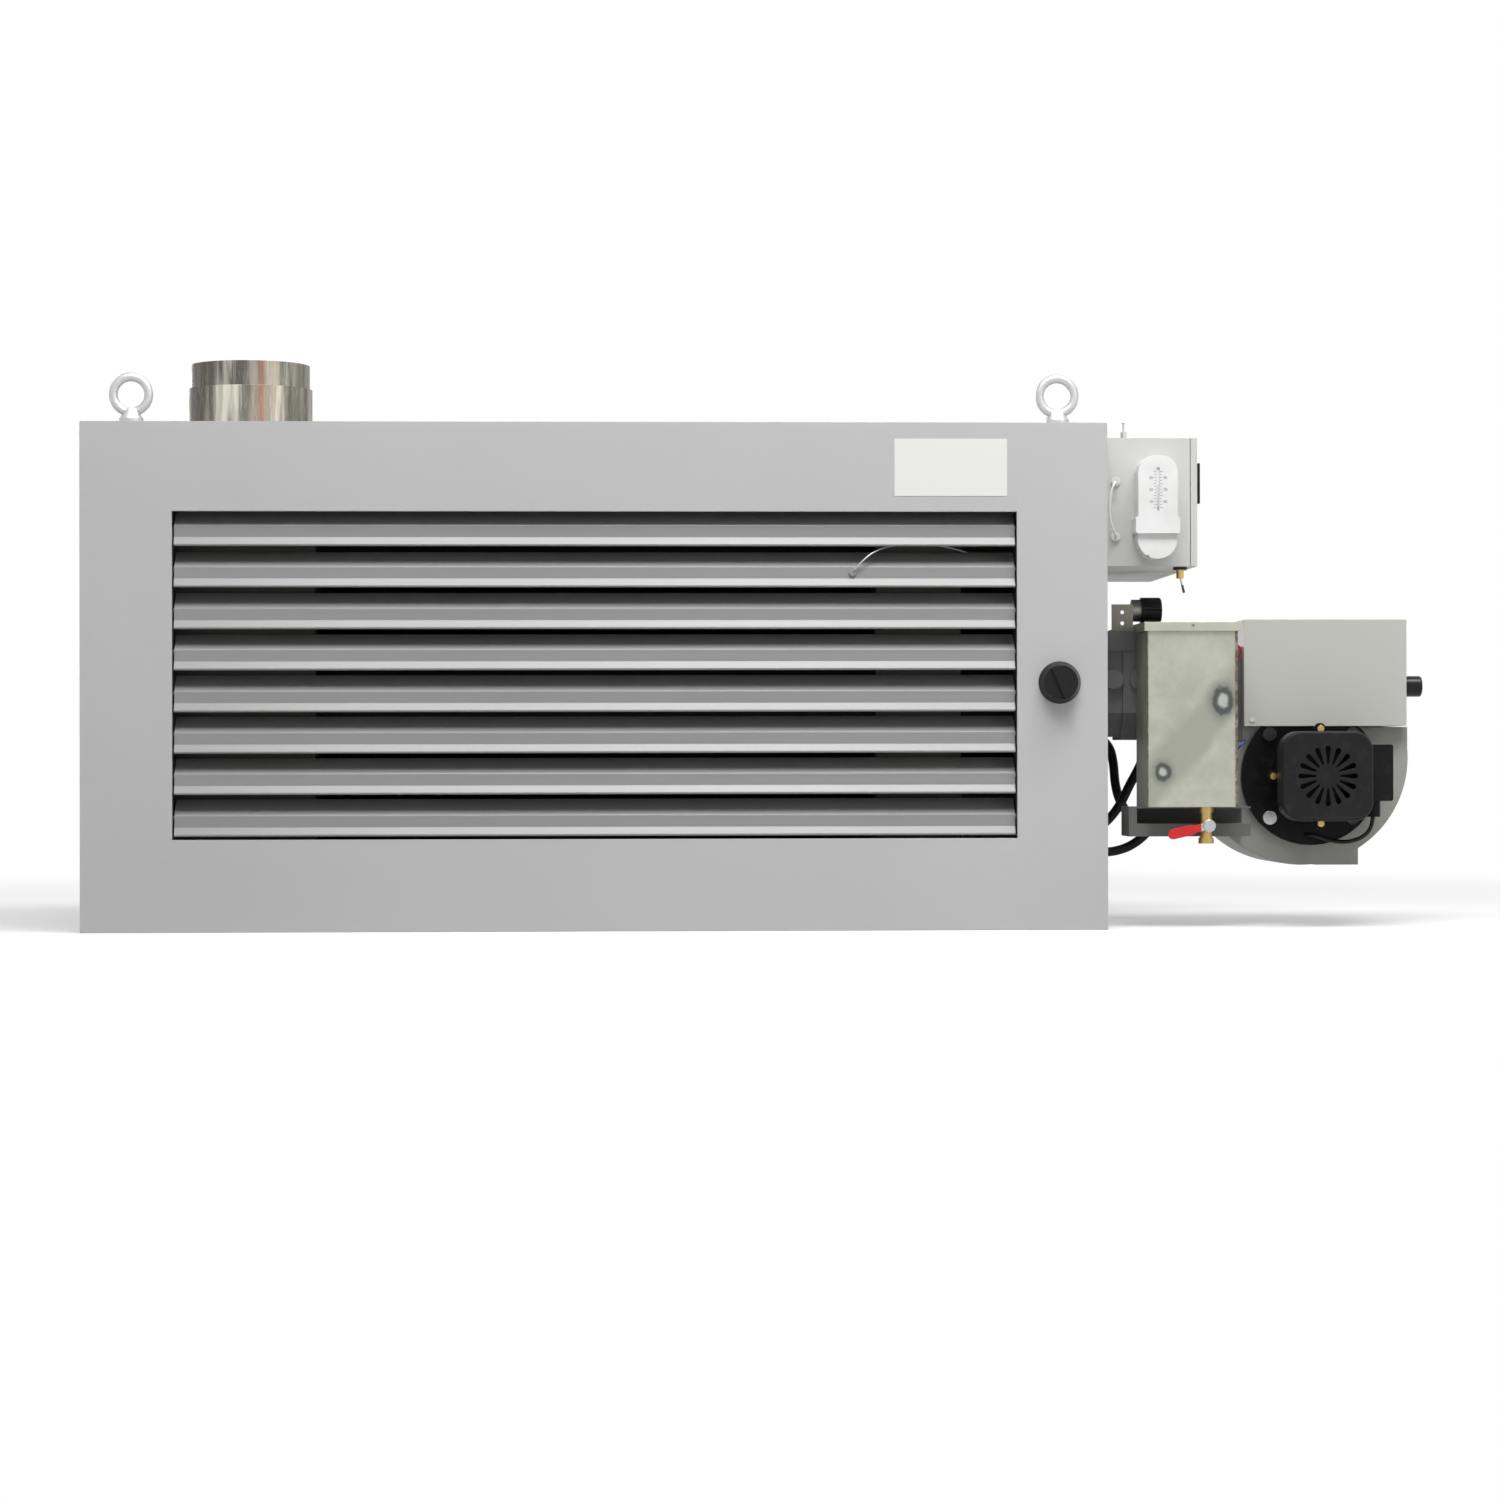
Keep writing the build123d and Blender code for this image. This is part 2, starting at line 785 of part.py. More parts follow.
def side_panels():
    """Left sheet with the clean-out hole and its bolt holes, right sheet with the neck's hole."""
    span = (face_y + sheet, rear_y, sheet, casing_top - sheet)
    left = block(-side_x, -side_inner, *span)
    left -= rod("x", (drum_y, drum_z), cleanout_radius, -side_x - overrun, -side_inner + overrun)
    for place in cleanout_bolts():
        left -= rod("x", place, cleanout_bolt_radius + seat_gap, -side_x - overrun, -side_inner + overrun)
    right = block(side_inner, side_x, *span)
    right -= rod("x", (drum_y, drum_z), drum_neck_radius + seat_gap, side_inner - overrun, side_x + overrun)
    return [left, right]


def rear_panel():
    """Rear sheet with two fan openings and a folded rim."""
    outer_x = side_inner - seat_gap
    low = sheet + seat_gap
    high = casing_top - sheet - seat_gap
    panel = block(-outer_x, outer_x, rear_y - sheet, rear_y, low, high)
    panel += edge_return(rear_y - panel_return, rear_y - sheet)
    for x in (-fan_x, fan_x):
        panel -= rod("y", (x, fan_z), fan_ring_radius + sheet + seat_gap, rear_y - sheet - overrun,
                     rear_y + overrun)
    return panel


def fan_rings():
    """Rolled inlet rings seated in the rear sheet, one round each fan."""
    return [pipe("y", (x, fan_z), fan_ring_radius + sheet, fan_ring_radius, rear_y - fan_ring_depth, rear_y)
            for x in (-fan_x, fan_x)]


def cleanout_bolts():
    step = 2 * math.pi / cleanout_bolt_count
    angles = [step * (turn + 1 / 2) for turn in range(cleanout_bolt_count)]
    return [(drum_y + cleanout_bolt_circle * math.cos(angle),
             drum_z + cleanout_bolt_circle * math.sin(angle)) for angle in angles]


def cleanout_cover():
    """Round plate over the clean-out opening, with its bolts."""
    outer = -side_x - cleanout_cover_sheet
    cover = rod("x", (drum_y, drum_z), cleanout_cover_radius, outer, -side_x)
    for place in cleanout_bolts():
        cover += rod("x", place, cleanout_bolt_head, outer - cleanout_head_height, outer)
        cover += rod("x", place, cleanout_bolt_radius, outer, -side_inner + overrun)
    return cover


def eye_bolt(place, wire, mean_radius, rise, collar_radius, collar_height, thread_radius, nut_radius):
    """Lifting eye with a flared neck, and the nut below the sheet."""
    x, y = place
    ring_z = casing_top + rise
    ring = Pos(x, y, ring_z) * Rot(90, 0, 0) * Torus(mean_radius, wire)
    collar_top = casing_top + collar_height
    collar = rod("z", place, collar_radius, casing_top, collar_top)
    neck = frustum("z", place, collar_radius, wire, collar_top, ring_z - mean_radius + wire)
    neck -= rod("y", (x, ring_z), mean_radius - wire, y - collar_radius, y + collar_radius)
    stud = rod("z", place, thread_radius, casing_top - eye_thread_length, casing_top)
    nut_face = Pos(x, y) * RegularPolygon(nut_radius, 6)
    nut_high = casing_top - sheet
    nut = push_z(nut_face, nut_high - eye_nut_height, nut_high)
    nut -= rod("z", place, thread_radius, nut_high - eye_nut_height - overrun, nut_high + overrun)
    return [ring + collar + neck + stud, nut]


def eye_bolts():
    """Two large eyes at the front, and two small ones at the rear."""
    bolts = []
    for place in eye_places(-1):
        bolts += eye_bolt(place, eye_wire, eye_mean_radius, eye_rise, eye_collar_radius,
                          eye_collar_height, eye_thread_radius, eye_nut_radius)
    for place in eye_places(1):
        bolts += eye_bolt(place, rear_eye_wire, rear_eye_mean_radius, rear_eye_rise,
                          rear_eye_collar_radius, rear_eye_collar_height, rear_eye_thread_radius,
                          rear_eye_nut_radius)
    return bolts


def flue_spigot():
    """Tube with a beaded mouth, a little smaller where it stands in the sleeve."""
    centre = (flue_x, flue_y)
    low = casing_top - flue_drop
    seat = casing_top + sleeve_rise + seat_gap
    high = casing_top + flue_rise
    reduced = flue_outer_radius - flue_relief
    spigot = pipe("z", centre, reduced, reduced - flue_wall, low, seat)
    spigot += pipe("z", centre, flue_outer_radius, flue_outer_radius - flue_wall, seat - flue_wall, high)
    spigot -= pipe("z", centre, flue_outer_radius + overrun, reduced, seat - flue_wall - overrun, seat)
    bead = Pos(flue_x, flue_y, high - bead_radius) * Torus(flue_outer_radius - bead_radius, bead_radius)
    return spigot + bead


def flue_sleeve():
    """Short wider tube around the spigot, standing on the top."""
    inner = flue_outer_radius + seat_gap
    return pipe("z", (flue_x, flue_y), sleeve_radius, inner, casing_top, casing_top + sleeve_rise)


def combustion_chamber():
    """Rolled drum, its closed left end, and its right end with a neck for the burner."""
    centre = (drum_y, drum_z)
    right_start = drum_right - drum_wall
    shell = pipe("x", centre, drum_radius, drum_radius - drum_wall, drum_left + drum_wall + seat_gap,
                 right_start - seat_gap)
    for y in (drum_y - tube_spacing / 2, drum_y + tube_spacing / 2):
        shell -= rod("z", (return_header_x, y), tube_radius, drum_z, drum_z + drum_radius + overrun)
    left_end = rod("x", centre, drum_radius, drum_left, drum_left + drum_wall)
    right_end = rod("x", centre, drum_radius, right_start, drum_right)
    right_end += rod("x", centre, drum_neck_radius, right_start, side_x)
    right_end -= rod("x", centre, drum_neck_radius - drum_neck_wall, right_start - overrun,
                     side_x + overrun)
    return [shell, left_end, right_end]


def header_plates(left, right):
    """Two end sheets, with the front, rear, bottom and top plates between them."""
    inner_left = left + header_wall
    inner_right = right - header_wall
    start = inner_left + seat_gap
    end = inner_right - seat_gap
    inner_front = header_front + header_wall
    inner_rear = header_rear - header_wall
    front = inner_front + seat_gap
    rear = inner_rear - seat_gap
    return [
        block(left, inner_left, header_front, header_rear, header_low, header_high),
        block(inner_right, right, header_front, header_rear, header_low, header_high),
        block(start, end, header_front, inner_front, header_low, header_high),
        block(start, end, inner_rear, header_rear, header_low, header_high),
        block(start, end, front, rear, header_low, header_low + header_wall),
        block(start, end, front, rear, header_high - header_wall, header_high),
    ]


def header(left, right, open_top):
    """Gas box of welded plates that the drum and the tubes pass into."""
    drum_end = max(left - overrun, drum_left - free_gap)
    cuts = rod("x", (drum_y, drum_z), drum_radius + seat_gap, drum_end, right + overrun)
    if open_top:
        cuts += rod("z", (flue_x, flue_y), flue_outer_radius - flue_wall,
                    header_high - header_wall - overrun, header_high + overrun)
    inner_start = right - header_wall - overrun if open_top else left - overrun
    inner_end = right + overrun if open_top else left + header_wall + overrun
    for centre in tube_centres():
        cuts += rod("x", centre, tube_radius + seat_gap, inner_start, inner_end)
    return [plate - cuts for plate in header_plates(left, right)]


def tube_centres():
    """Tube rows above and below the drum."""
    offsets = [(turn - (tube_row_count - 1) / 2) * tube_spacing for turn in range(tube_row_count)]
    rises = (drum_z - tube_row_rise, drum_z + tube_row_rise)
    return [(drum_y + offset, z) for z in rises for offset in offsets]


def exchanger_headers():
    return (header(flue_header_left, flue_header_right, True)
            + header(return_header_left, return_header_right, False))


def exchanger_tubes():
    start = flue_header_right - header_wall - tube_stub
    end = return_header_left + header_wall + tube_stub
    return [pipe("x", centre, tube_radius, tube_radius - tube_wall, start, end) for centre in tube_centres()]


def chamber_supports():
    """Two saddles standing on the base, cut to the drum."""
    saddles = []
    for x in (-support_span / 2, support_span / 2):
        saddle = block(x, x + support_sheet, drum_y - support_width / 2, drum_y + support_width / 2,
                       sheet, drum_z)
        saddle -= rod("x", (drum_y, drum_z), drum_radius + seat_gap, x - overrun, x + support_sheet + overrun)
        saddle += block(x, x + support_foot, drum_y - support_width / 2, drum_y + support_width / 2,
                        sheet, sheet + support_sheet)
        for centre in tube_centres():
            saddle -= rod("x", centre, tube_radius + seat_gap, x - overrun, x + support_foot + overrun)
        saddles.append(saddle)
    return saddles


def fan_motor(x):
    """Motor behind the fan, whose shaft reaches forward into the fan's boss."""
    centre = (x, fan_z)
    start = rear_y + free_gap
    motor = rod("y", centre, fan_motor_radius, start, start + fan_motor_length)
    return motor + rod("y", centre, fan_shaft_radius, rear_y - fan_setback - fan_hub_depth, start)


def fan_guard(x):
    """Wire rings on spokes that hold the motor and bend forward to the rear sheet."""
    ring_y = rear_y + guard_stand
    spoke_y = ring_y + guard_ring_radius
    leg_x = x + guard_outer_radius + guard_spoke_radius
    spoke_line = FilletPolyline((x + fan_motor_radius + seat_gap, spoke_y, fan_z), (leg_x, spoke_y, fan_z),
                                (leg_x, rear_y, fan_z), radius=guard_spoke_radius * 2)
    spoke = sweep((spoke_line ^ 0) * Circle(guard_spoke_radius), path=spoke_line)
    guard = None
    for turn in range(guard_ring_count):
        radius = guard_outer_radius - turn * guard_ring_step
        ring = Pos(x, ring_y, fan_z) * Rot(90, 0, 0) * Torus(radius, guard_ring_radius)
        guard = ring if guard is None else guard + ring
    for turn in range(guard_spoke_count):
        angle = 360 * (turn + 1 / 2) / guard_spoke_count
        guard += around((x, 0, fan_z), (0, 1, 0), spoke, angle)
    return guard


def fan_motors():
    """Each motor with the guard that carries it."""
    return [make(x) for x in (-fan_x, fan_x) for make in (fan_motor, fan_guard)]


def fan_impeller(x):
    """Cup hub with pitched blades on a bored boss."""
    centre = (x, fan_z)
    back = rear_y - fan_setback
    front = back - fan_hub_depth
    hub = rod("y", centre, fan_hub_radius, front, back)
    hub -= rod("y", centre, fan_hub_radius - fan_hub_wall, front + fan_hub_wall, back + overrun)
    hub += rod("y", centre, fan_shaft_radius + overrun, front, back)
    middle = (front + back) / 2
    outline = Polygon((0, -fan_blade_root / 2), (0, fan_blade_root / 2),
                      (fan_radius, fan_blade_tip / 2), (fan_radius, -fan_blade_tip / 2), align=None)
    flat = push_y(outline, -fan_blade_sheet / 2, fan_blade_sheet / 2)
    pitched = flat.rotate(Axis.X, fan_blade_twist)
    tip_trim = rod("y", (0, 0), fan_radius, -fan_blade_tip, fan_blade_tip)
    tip_trim -= rod("y", (0, 0), fan_hub_radius - fan_hub_wall / 2, -fan_blade_tip, fan_blade_tip)
    blade = Pos(x, middle, fan_z) * (pitched & tip_trim)
    for turn in range(fan_blade_count):
        hub += around((x, 0, fan_z), (0, 1, 0), blade, 360 * turn / fan_blade_count)
    return hub - rod("y", centre, fan_shaft_radius + running_gap, front - overrun, back + overrun)


def fan_thermostat():
    """Switch body on the inside of the front panel."""
    start = face_y + sheet
    low = knob_z - stat_height / 2
    body = block(knob_x - stat_width / 2, knob_x + stat_width / 2, start, start + stat_depth,
                 low, low + stat_height)
    body -= rod("y", (knob_x, knob_z), knob_shaft_radius + running_gap, start - overrun,
                start + stat_depth / 2)
    return body


def thermostat_knob():
    """Skirted knob with a grip bar across it, on its shaft."""
    back = face_y - free_gap
    centre = (knob_x, knob_z)
    skirt = frustum("y", centre, knob_crown_radius, knob_radius, back - knob_height / 2, back)
    crown = rod("y", centre, knob_crown_radius, back - knob_height, back - knob_height / 2)
    half = knob_grip_width / 2
    for side in (-1, 1):
        inner = knob_x + side * half
        outer = knob_x + side * knob_radius
        crown -= block(min(inner, outer), max(inner, outer), back - knob_height - overrun,
                       back - knob_height / 2 - knob_flat, knob_z - knob_radius, knob_z + knob_radius)
    shaft = rod("y", centre, knob_shaft_radius, back, face_y + sheet + stat_depth / 2 - free_gap)
    knob = skirt + crown + shaft
    return around((knob_x, 0, knob_z), (0, 1, 0), knob, -knob_rest_turn)


def capillary():
    """Sensing wire from the switch body, behind the blades, to the screw on the second blade's lip."""
    return cord("capillary", capillary_route, capillary_radius)


def label_plate():
    return block(label_right - label_width, label_right, face_y - label_sheet, face_y,
                 label_top - label_height, label_top)


def hinge_bases():
    """Lower ends of the two door hinges."""
    return [box_bottom + hinge_inset, box_top - hinge_inset - 2 * hinge_knuckle]


def control_box():
    """Folded box open at its right side, with a front lip and the fixed hinge halves."""
    box = block(side_x, box_edge, box_front, box_rear, box_bottom, box_top)
    box -= block(side_x + box_sheet, box_edge + overrun, box_front + box_sheet, box_rear - box_sheet,
                 box_bottom + box_sheet, box_top - box_sheet)
    box += block(box_edge - box_sheet, box_edge, box_front, box_front + box_lip, box_bottom, box_top)
    centre = (door_axis_x, door_axis_y)
    for low in hinge_bases():
        high = low + hinge_knuckle
        box += rod("z", centre, hinge_radius, low, high)
        box += rod("z", centre, hinge_pin_radius, high, high + hinge_knuckle)
        box += block(box_edge - hinge_leaf, door_axis_x, box_rear, box_rear + box_sheet + free_gap, low, high)
    for place in ((upper_toggle_x, upper_toggle_y), (lower_toggle_x, lower_toggle_y)):
        low_side = place[0] == lower_toggle_x
        level = box_bottom if low_side else box_top
        radius = lower_bush_radius if low_side else upper_bush_radius
        box -= rod("z", place, radius + seat_gap, level - overrun, level + overrun)
    for place in ((grommet_x, grommet_z), (grommet_x, lead_end_z)):
        box -= rod("y", place, grommet_bore + running_gap, box_front - overrun, box_front + overrun)
    return box


def control_door():
    """Door pan at the right side, with its knuckles and the latch bore."""
    start = box_edge + door_gap
    door = block(start, box_right, box_front, box_rear, box_bottom, box_top)
    door -= block(start - overrun, box_right - box_sheet, box_front + box_sheet, box_rear - box_sheet,
                  box_bottom + box_sheet, box_top - box_sheet)
    centre = (door_axis_x, door_axis_y)
    for low in hinge_bases():
        knuckle_low = low + hinge_knuckle + free_gap
        knuckle_high = low + 2 * hinge_knuckle
        door += block(start, box_right, box_rear, door_axis_y, knuckle_low, knuckle_high)
        door += rod("z", centre, hinge_radius, knuckle_low, knuckle_high)
        door -= rod("z", centre, hinge_pin_radius + running_gap, knuckle_low - overrun,
                    knuckle_high + overrun)
    door -= rod("x", (latch_y, latch_z), latch_shaft_radius + running_gap, start, box_right + overrun)
    return door


def door_latch():
    """Turn handle with a shaft through the door and a short tongue inside."""
    centre = (latch_y, latch_z)
    base_start = box_right + free_gap
    bar_start = base_start + latch_base_height
    bar_end = bar_start + latch_bar_sheet
    latch = rod("x", centre, latch_base_radius, base_start, bar_start)
    latch += block(bar_start, bar_end, latch_y - latch_bar_width / 2, latch_y + latch_bar_width / 2,
                   latch_z - latch_bar_length / 2, latch_z + latch_bar_length / 2)
    tongue_start = box_edge - box_sheet - latch_tongue_sheet
    latch += rod("x", centre, latch_shaft_radius, tongue_start, base_start)
    tongue_end = box_front + box_lip + door_gap
    latch += block(tongue_start, tongue_start + latch_tongue_sheet, tongue_end, latch_y,
                   latch_z - latch_shaft_radius, latch_z + latch_shaft_radius)
    return latch


def contactor():
    """Mounting rail on the box's back wall with a relay block and a row of terminals."""
    wall = side_x + box_sheet
    middle_y = (box_front + box_rear) / 2
    middle_z = (box_bottom + box_top) / 2
    rail = block(wall, wall + rail_sheet, middle_y - rail_length / 2, middle_y + rail_length / 2,
                 middle_z - rail_width / 2, middle_z + rail_width / 2)
    start = wall + rail_sheet
    rail_start = middle_y - rail_length / 2 + relay_width
    for turn in range(2):
        low_y = rail_start + turn * (relay_width + door_gap)
        rail += block(start, start + relay_depth, low_y, low_y + relay_width,
                      middle_z - relay_height / 2, middle_z + relay_height / 2)
    for turn in range(terminal_count):
        low_y = middle_y + turn * terminal_pitch
        rail += block(start, start + terminal_depth, low_y, low_y + terminal_pitch - door_gap,
                      middle_z - terminal_height / 2, middle_z + terminal_height / 2)
    return rail


def toggle_bushing(place, level, side, radius, height):
    """Threaded barrel through the sheet and the switch body inside the box."""
    outer = level + side * height
    inner = level - side * box_sheet
    barrel = rod("z", place, radius, min(inner, outer), max(inner, outer))
    far = inner - side * toggle_body_height
    body = rod("z", place, toggle_body_radius, min(inner, far), max(inner, far))
    pivot = toggle_pivot(level, side, height)
    bore = rod("z", place, toggle_bore_radius, min(pivot - side * toggle_bore_radius, outer + side * overrun),
               max(pivot - side * toggle_bore_radius, outer + side * overrun))
    return barrel + body - bore


def toggle_pivot(level, side, height):
    return level + side * (height - toggle_bore_radius - toggle_ball_radius / 2)


def toggle_lever(place, level, side, height, length, axis, lean):
    """Tapered lever with a ball at its pivot, leaning about an axis."""
    pivot = toggle_pivot(level, side, height)
    lever = Pos(place[0], place[1], pivot) * Sphere(toggle_ball_radius)
    if side > 0:
        lever += frustum("z", place, toggle_root_radius, toggle_tip_radius, pivot, pivot + length)
    else:
        lever += frustum("z", place, toggle_tip_radius, toggle_root_radius, pivot - length, pivot)
    return around((place[0], place[1], pivot), axis, lever, lean)


def upper_toggle():
    place = (upper_toggle_x, upper_toggle_y)
    return toggle_lever(place, box_top, 1, upper_bush_height, upper_lever_length, (1, 0, 0), -toggle_lean)


def lower_toggle():
    place = (lower_toggle_x, lower_toggle_y)
    return toggle_lever(place, box_bottom, -1, lower_washer_height + lower_bush_height,
                        lower_lever_length, (0, 1, 0), -toggle_lean)


def grommet(place):
    """Ring bush in the box's front wall."""
    outer = box_front - grommet_reach
    ring = rod("y", place, grommet_radius, outer, box_front)
    ring += rod("y", place, grommet_bore, box_front, box_front + box_sheet)
    return ring - rod("y", place, wire_radius + running_gap, outer - overrun, box_front + overrun)


def cable_gland(place):
    """Hexagon gland on the cabinet's right side, bored for its hose."""
    y, z = place
    nut = push_x(Pos(y, z) * RegularPolygon(hose_gland_radius, 6), side_x, side_x + hose_gland_length)
    return nut - rod("x", place, hose_radius + running_gap, side_x, side_x + hose_gland_length + overrun)


def panel_fittings():
    """Switch barrels with their sealing washer, wire grommets and hose glands."""
    upper_place = (upper_toggle_x, upper_toggle_y)
    lower_place = (lower_toggle_x, lower_toggle_y)
    upper = toggle_bushing(upper_place, box_top, 1, upper_bush_radius, upper_bush_height)
    lower = toggle_bushing(lower_place, box_bottom, -1, lower_bush_radius,
                           lower_washer_height + lower_bush_height)
    lower += pipe("z", lower_place, lower_washer_radius, lower_bush_radius - running_gap,
                  box_bottom - lower_washer_height, box_bottom)
    fittings = [upper, lower, grommet((grommet_x, grommet_z)), grommet((grommet_x, lead_end_z))]
    return fittings + [cable_gland(place) for place in gland_places]


def room_thermostat():
    """Slim case with a rounded crown, a wider band, a thermometer slot and a pocket for the dial."""
    centre_z = room_bottom + (room_height + dial_radius) / 2
    upper = Pos(room_x, centre_z) * RectangleRounded(room_width, room_height - dial_radius, room_crown)
    lower_back = Pos(room_x, dial_z) * Circle(dial_radius)
    case = push_y(upper, room_front, box_front)
    case -= block(room_x - room_width, room_x + room_width, room_front - overrun, box_front + overrun,
                  room_bottom, band_low)
    case += push_y(lower_back, dial_front + dial_thickness + free_gap, box_front)
    band = block(room_x - room_width / 2 - room_band_reach, room_x + room_width / 2 + room_band_reach,
                 room_front, box_front, band_low, band_low + room_band_height)
    band = fillet(band.edges().filter_by(Axis.Y), room_edge)
    case += band
    case -= rod("y", (room_x, dial_z), dial_radius + free_gap, dial_front - free_gap,
                dial_front + dial_thickness + free_gap)
    case -= rod("y", (room_x, dial_z), dial_shaft_radius + running_gap, dial_front, box_front - box_sheet)
    slot_low = room_bottom + room_slot_rise
    case -= block(room_x - room_slot_width / 2, room_x + room_slot_width / 2, room_front - overrun,
                  room_front + room_slot_depth, slot_low, slot_low + room_slot_height)
    return case


def room_dial():
    """Setting wheel half hidden by the band, with a notch at its rim."""
    dial = rod("y", (room_x, dial_z), dial_radius, dial_front, dial_front + dial_thickness)
    dial += rod("y", (room_x, dial_z), dial_shaft_radius, dial_front + dial_thickness,
                box_front - box_sheet - free_gap)
    notch_angle = math.radians(dial_notch_turn)
    notch = (room_x + dial_radius * math.cos(notch_angle), dial_z + dial_radius * math.sin(notch_angle))
    return dial - rod("y", notch, dial_notch, dial_front - overrun, dial_front + dial_thickness + overrun)


def neck_outline(inset):
    """Section of the neck below its lid band, drawn in by a step."""
    front = neck_front + inset
    rear = neck_rear - inset
    low = neck_low + inset
    chin_top = neck_low + neck_chin
    high = neck_high - neck_lid_height / 2
    return Polygon((front, high), (rear, high), (rear, chin_top), (rear - neck_chin_inset, low),
                   (front + neck_chin_inset, low), (front, chin_top), align=None)


def neck_casting():
    """Hollow casting from the cabinet side to the fan housing: flange, lid band, bosses, sloped chin."""
    lid_low = neck_high - neck_lid_height
    body = push_x(neck_outline(0), neck_step_x, neck_end_x)
    body += push_x(neck_outline(neck_step_depth), side_x, neck_step_x)
    body += block(side_x, neck_end_x, neck_front - neck_lid_reach, neck_rear + neck_lid_reach,
                  lid_low, neck_high)
    flange_reach = drum_neck_radius + neck_flange_reach
    body += rod("x", (burner_y, burner_z), flange_reach, side_x, side_x + neck_flange_sheet)
    for reach in neck_boss_reaches:
        place = (side_x + reach, neck_boss_z)
        body += rod("y", place, neck_boss_radius, neck_front - neck_boss_height, burner_y)
    bore = rod("x", (burner_y, burner_z), blast_radius + running_gap, side_x - overrun, neck_end_x + overrun)
    return body - bore


def burner_head():
    """Blast tube with a holed diffuser disc, an oil nozzle on its lance and two electrodes."""
    centre = (burner_y, burner_z)
    end = side_x + neck_flange_sheet
    head = pipe("x", centre, blast_radius, blast_radius - blast_wall, blast_left, end)
    disc_x = blast_left + diffuser_setback
    disc = pipe("x", centre, diffuser_radius, diffuser_bore, disc_x, disc_x + diffuser_sheet)
    nozzle = rod("x", centre, nozzle_radius, disc_x + diffuser_sheet, disc_x + diffuser_sheet + nozzle_length)
    lance_end = neck_end_x
    nozzle += rod("x", centre, lance_radius, disc_x + nozzle_length, lance_end)
    strut_x = disc_x + nozzle_length / 2
    for angle in (0, 120, 240):
        strut = block(strut_x, strut_x + diffuser_sheet, burner_y - diffuser_sheet / 2,
                      burner_y + diffuser_sheet / 2, burner_z, burner_z + blast_radius - blast_wall / 2)
        head += around((0, burner_y, burner_z), (1, 0, 0), strut, angle)
    for angle in (60, 180, 300):
        strut = block(disc_x, strut_x + diffuser_sheet, burner_y - diffuser_sheet / 2,
                      burner_y + diffuser_sheet / 2, burner_z + diffuser_radius - overrun,
                      burner_z + diffuser_radius)
        arm = block(strut_x, strut_x + diffuser_sheet, burner_y - diffuser_sheet / 2,
                    burner_y + diffuser_sheet / 2, burner_z, burner_z + diffuser_radius)
        head += around((0, burner_y, burner_z), (1, 0, 0), strut + arm, angle)
    for side in (-1, 1):
        place = (burner_y + side * electrode_offset, burner_z)
        head += rod("x", place, electrode_radius, disc_x + diffuser_sheet, lance_end)
        foot = block(strut_x, strut_x + diffuser_sheet, min(burner_y, place[0]), max(burner_y, place[0]),
                     burner_z - diffuser_sheet, burner_z + diffuser_sheet)
        head += foot
    return head + disc + nozzle


def volute_outline(inset):
    """Scroll, riser and duct seen from the front, drawn in by a wall."""
    scroll = Pos(volute_x, volute_z) * Circle(volute_radius - inset)
    scroll_left = volute_x - volute_radius
    scroll_top = volute_z + volute_radius
    scroll -= Polygon((scroll_left, riser_high - inset), (riser_right, riser_high - inset),
                      (riser_right, scroll_top), (scroll_left, scroll_top), align=None)
    riser = Polygon((volute_x, volute_z), (riser_right - inset, volute_z),
                    (riser_right - inset, riser_high - inset), (volute_x, riser_high - inset), align=None)
    left = duct_left + inset
    right = duct_right - inset
    duct = Polygon((left, duct_low + inset), (right, duct_low + inset), (right, duct_high - inset),
                   (left, duct_high - inset), align=None)
    return scroll + riser + duct


def volute():
    """Hollow fan housing with its duct, foot, motor hole, intake windows and damper stud."""
    body = push_y(volute_outline(0), volute_front, volute_rear)
    body += block(foot_left, foot_left + foot_width, volute_front, volute_rear,
                  foot_low, foot_low + foot_height)
    for offset_y, offset_z in inlet_offsets:
        place = (burner_y + offset_y, volute_z + offset_z)
        body += rod("x", place, inlet_radius, inlet_face, volute_x)
    body -= push_y(volute_outline(volute_wall), volute_front + volute_wall, volute_rear - volute_wall)
    body -= rod("x", (burner_y, burner_z), duct_window / 2, duct_left - overrun,
                duct_left + volute_wall + overrun)
    centre = (motor_x, motor_z)
    body -= rod("y", centre, motor_spigot_radius + seat_gap, volute_front - overrun,
                volute_front + volute_wall + overrun)
    for window in damper_windows(volute_rear - volute_wall - overrun, volute_rear + overrun):
        body -= window
    body += rod("y", centre, damper_stud_radius, volute_rear - volute_wall,
                volute_rear + damper_sheet + 2 * free_gap)
    body += rod("y", centre, damper_cap_radius, volute_rear + damper_sheet + 2 * free_gap,
                volute_rear + damper_sheet + 2 * free_gap + damper_cap_height)
    return body


def damper_windows(start, end):
    """Sector windows around the fan axis at the back of the housing."""
    windows = []
    ring = pipe("y", (motor_x, motor_z), damper_outer, damper_inner, start, end)
    half = math.radians(damper_window_angle / 2)
    reach = damper_outer / math.cos(half)
    wedge_outline = Polygon((0, 0), (reach * math.cos(half), reach * math.sin(half)),
                            (reach * math.cos(half), -reach * math.sin(half)), align=None)
    wedge = Pos(motor_x, 0, motor_z) * push_y(wedge_outline, start, end)
    for turn in range(damper_window_count):
        turned = around((motor_x, 0, motor_z), (0, 1, 0), wedge, 360 * turn / damper_window_count)
        windows.append(ring & turned)
    return windows


def air_damper():
    """Turning plate with the same windows, held by the stud."""
    start = volute_rear + free_gap
    end = start + damper_sheet
    plate = rod("y", (motor_x, motor_z), damper_radius, start, end)
    plate -= rod("y", (motor_x, motor_z), damper_stud_radius + running_gap, start - overrun, end + overrun)
    for window in damper_windows(start - overrun, end + overrun):
        plate -= window
    return plate


